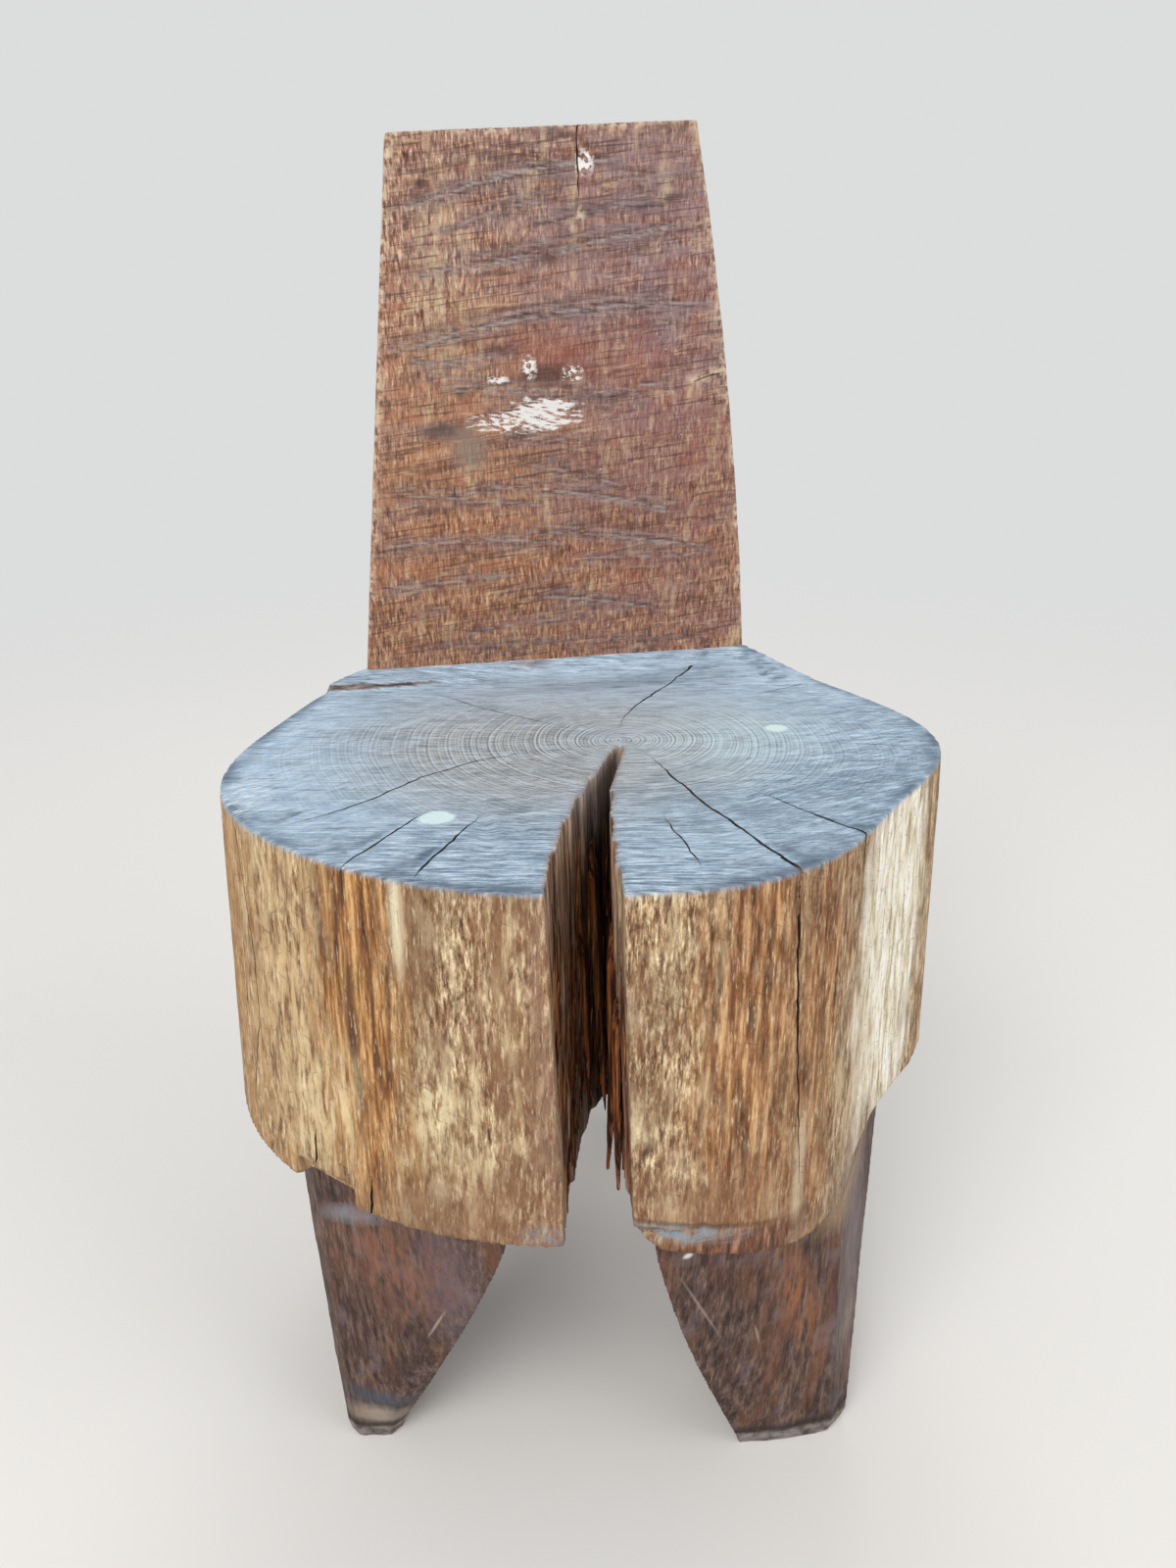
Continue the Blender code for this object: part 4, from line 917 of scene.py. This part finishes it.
legStains = [
    # dark red-brown tones of the leg wood, darkened further by painted shade from the drum above
    dict(colour=("#2b1c16", "#45312a", "#523b32", "#5f473b", "#7a6151"), size=(3, 3, 20), seed=70,
         fine=(7, 0.72)),
    streaks("#6f452f", (16, 16, 60), (0.52, 0.68), seed=71, strength=0.65),
    streaks("#35231e", (12, 12, 40), (0.52, 0.66), seed=72, strength=0.6),
    streaks("#786a6e", (20, 20, 26), (0.54, 0.70), seed=73, strength=0.55),
    # the log's tan side runs on down the right leg's outer flat
    spot("#a68c6e", (118, -134, 184), (27, 34, 26), 0.85),
    spot("#7d7070", (130, -117, 118), (16, 26, 60), 0.6, soft=0.7),
    spot("#9c6340", (86, -151, 122), (9, 16, 44), 0.75, soft=0.7, lie=(0, -19, 0), clip=(0.36, 0.56),
         size=(4, 4, 24), seed=74),
    spot("#7d8288", (-140, -121, 181), (21, 16, 5), 0.85, lie=(0, -27, 0)),
    spot("#6e5f66", (-93, -150, 150), (13, 18, 46), 0.6, soft=0.7),
    spot("#885a44", (-122, -135, 158), (28, 28, 30), 0.8, soft=0.8, clip=(0.36, 0.58), size=(5, 5, 16),
         seed=75),
    # scratches and rubs
    streaks("#a99a8f", (1.0, 1.0, 14), (0.68, 0.76), turn=(0, 35, 0), seed=76, strength=0.5),
    streaks("#9a8a80", (1.0, 1.0, 5), (0.66, 0.76), seed=77, strength=0.4),
    streaks("#241814", (1.0, 1.0, 6), (0.62, 0.70), seed=78, strength=0.7),
    spot("#b0a199", (30, -167, 138), (0.7, 14, 27), 0.4, soft=0.5, lie=(0, -25, 0)),
    spot("#b0a199", (64, -156, 104), (0.7, 14, 7), 0.5, soft=0.5, lie=(0, -15, 0)),
    spot("#c2b2a4", (-101, -140, 121), (0.7, 14, 12), 0.5, soft=0.5, lie=(0, 20, 0)),
    spot("#e6e0d8", (20, -174, 180), (2.4, 8, 1.6), soft=0.4),
    spot("#94857d", (130, -119, 68), (8, 12, 13), 0.5, soft=0.7),
    # feet
    spot("#454a56", (-134, -106, 40), (22, 18, 7), 0.8),
    spot("#a59688", (-136, -102, 23), (15, 16, 8), 0.75),
    dict(colour="#251914", within=("footGroove",), strength=0.8),
    streaks("#938d88", (9, 9, 6), (0.35, 0.6), within=("foot",), seed=79, strength=0.8),
]
legRelief = [
    dict(size=(3, 3, 20), seed=70, depth=0.9, fine=(7, 0.72)),
    dict(size=(7, 7, 9), seed=80, depth=0.6),
]

# the same hardwood hewn with an edge tool, dark, with painted shade from the drum above darkening it more:
# smoother, with a little sheen
legWood = woodMaterial("hewnHardwoodWithPaintedShade", legStains, legRelief, (0.75, 0.5))

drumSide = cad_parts["seat_drum"].data
drumShell = BVHTree.FromPolygons([v.co for v in drumSide.vertices], [p.vertices for p in drumSide.polygons])
legPieces = []
for node, name in (("front_left_leg", "frontLeftLeg"), ("front_right_leg", "frontRightLeg"),
                   ("rear_left_leg", "rearLeftLeg"), ("rear_right_leg", "rearRightLeg")):
    leg = copyNode(node, name, weld)
    for vertex in leg.data.vertices:
        if drumShell.ray_cast(vertex.co, Vector((0, 0, 1)), 2 * mm)[0]:
            vertex.co.z += legs["rise"]
    remesh(leg, legs["voxel"])
    runTree(leg, relief, dict(legs["relief"], Finish=legWood))
    height = points(leg)[0][:, 2]
    store(leg, "foot", 1 - ramp(height, *legs["worn"]), 0)
    begin, end = legs["groove"]
    store(leg, "footGroove", ramp(height, *begin) * (1 - ramp(height, *end)), 0)
    legPieces.append((leg, node))
    print(name + ":", len(leg.data.polygons), "faces")


# Torn splinters and fibres in the split

splinters = dict(
    voxel=0.8 * mm,
    relief={"Fibre Depth": 1.6 * mm, "Fibre Size": (0.0025, 0.0025, 0.035), "Ripple Depth": 1.0 * mm,
            "Ripple Size": (0.012, 0.012, 0.05), "Top Share": 1.0, "Seed": 23.0},
    fibres={"Density": 9000.0, "Shortest": (0.0006, 0.0006, 0.012), "Longest": (0.0016, 0.0016, 0.055),
            "Tilt": 0.06, "Seed": 4},
)

tornStains = [
    dict(colour=("#150804", "#3c1c0c", "#5f3116", "#824a23", "#b87f4b"), size=(1.8, 1.8, 50), seed=90,
         fine=(6, 0.7)),
    streaks("#b0602a", (3, 3, 60), (0.54, 0.66), seed=91, strength=0.7),
    streaks("#2c1b11", (1.4, 1.4, 40), (0.58, 0.68), seed=92, strength=0.8),
]
tornRelief = [
    dict(size=(1.8, 1.8, 50), seed=90, depth=0.9, fine=(6, 0.7)),
]

# heartwood torn along the grain when the log split: stringy, with orange fresh fibres between dark ones
tornWood = woodMaterial("tornHeartwood", tornStains, tornRelief, (0.9, 0.7))

splinterPieces = []
for node, name in (("left_wall_long_splinter", "leftLongSplinter"),
                   ("left_wall_short_splinter", "leftShortSplinter"),
                   ("right_wall_long_splinter", "rightLongSplinter"),
                   ("right_wall_short_splinter", "rightShortSplinter")):
    strip = copyNode(node, name, weld)
    remesh(strip, splinters["voxel"])
    runTree(strip, relief, dict(splinters["relief"], Finish=tornWood))
    splinterPieces.append((strip, node))

splitFibres = newPiece("splitFibres", seatDrum.data.copy())
runTree(splitFibres, fibreTree(), dict(splinters["fibres"], Finish=tornWood))
print("split fibres:", len(splitFibres.data.polygons), "faces")


# Smooth shading, and each piece on the frame

sharp = math.radians(48)  # edges sharper than this stay crisp: arrises and crack lips


def settle(piece, node=None):
    piece.data.shade_smooth()
    piece.data.set_sharp_from_angle(angle=sharp)
    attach(piece, "root")
    if node:
        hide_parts(node)


settle(seatDrum, "seat_drum")
settle(backSlab, "back_slab")
for leg, node in legPieces:
    settle(leg, node)
for strip, node in splinterPieces:
    settle(strip, node)
settle(splitFibres)


# Floor and soft studio light

studio = dict(
    floor="#e4e1dc", sky="#eef1f5", skyLevel=0.55, backdrop="#dcdddd", fade=(0.7, 2.6), half=9,
    aim=(0, 0, 0.35),
    lamps=[("key", (-2.2, -3.4, 3.65), 3.2, 192), ("fill", (3.4, -2.8, 2.45), 3.2, 68),
           ("back", (0.8, 3.8, 4.05), 2.8, 64)],  # place, size in metres and watts
)

floorMesh = bpy.data.meshes.new("floor")
half = studio["half"]
floorMesh.from_pydata([(-half, -half, 0), (half, -half, 0), (half, half, 0), (-half, half, 0)], [],
                      [(0, 1, 2, 3)])
floorPaint = bpy.data.materials.new("mattFloorPaint")
floorPaint.use_nodes = True
ground = floorPaint.node_tree
ground.nodes["Principled BSDF"].inputs["Base Color"].default_value = paint(studio["floor"])
ground.nodes["Principled BSDF"].inputs["Roughness"].default_value = 0.9
floorPlace = addNode(ground, "ShaderNodeTexCoord").outputs["Object"]
away = addNode(ground, "ShaderNodeVectorMath", {0: floorPlace}, operation="LENGTH").outputs["Value"]
far = addNode(ground, "ShaderNodeMapRange", {"Value": away, "From Min": studio["fade"][0],
              "From Max": studio["fade"][1]}, interpolation_type="SMOOTHSTEP")
looked = addNode(ground, "ShaderNodeLightPath").outputs["Is Camera Ray"]
share = addNode(ground, "ShaderNodeMath", {0: far, 1: looked}, operation="MULTIPLY")
plain = addNode(ground, "ShaderNodeEmission", {"Color": paint(studio["backdrop"]), "Strength": 1.0})
mixed = addNode(ground, "ShaderNodeMixShader", {0: share, 1: ground.nodes["Principled BSDF"], 2: plain})
ground.links.new(mixed.outputs[0], ground.nodes["Material Output"].inputs["Surface"])
floorMesh.materials.append(floorPaint)
floor = newPiece("floor", floorMesh)

world = bpy.data.worlds.new("studio")
world.use_nodes = True
sky = world.node_tree
soft = sky.nodes["Background"]
soft.inputs["Color"].default_value = paint(studio["sky"])
soft.inputs["Strength"].default_value = studio["skyLevel"]
behind = addNode(sky, "ShaderNodeBackground", {"Color": paint(studio["backdrop"]), "Strength": 1.0})
seen = addNode(sky, "ShaderNodeLightPath").outputs["Is Camera Ray"]
both = addNode(sky, "ShaderNodeMixShader", {0: seen, 1: soft, 2: behind})
sky.links.new(both.outputs[0], sky.nodes["World Output"].inputs["Surface"])
scene.world = world

for name, place, size, watts in studio["lamps"]:
    lamp = bpy.data.lights.new(name, "AREA")
    lamp.size = size
    lamp.energy = watts
    light = bpy.data.objects.new(name, lamp)
    light.location = place
    light.rotation_euler = (Vector(studio["aim"]) - Vector(place)).to_track_quat("-Z", "Y").to_euler()
    scene.collection.objects.link(light)
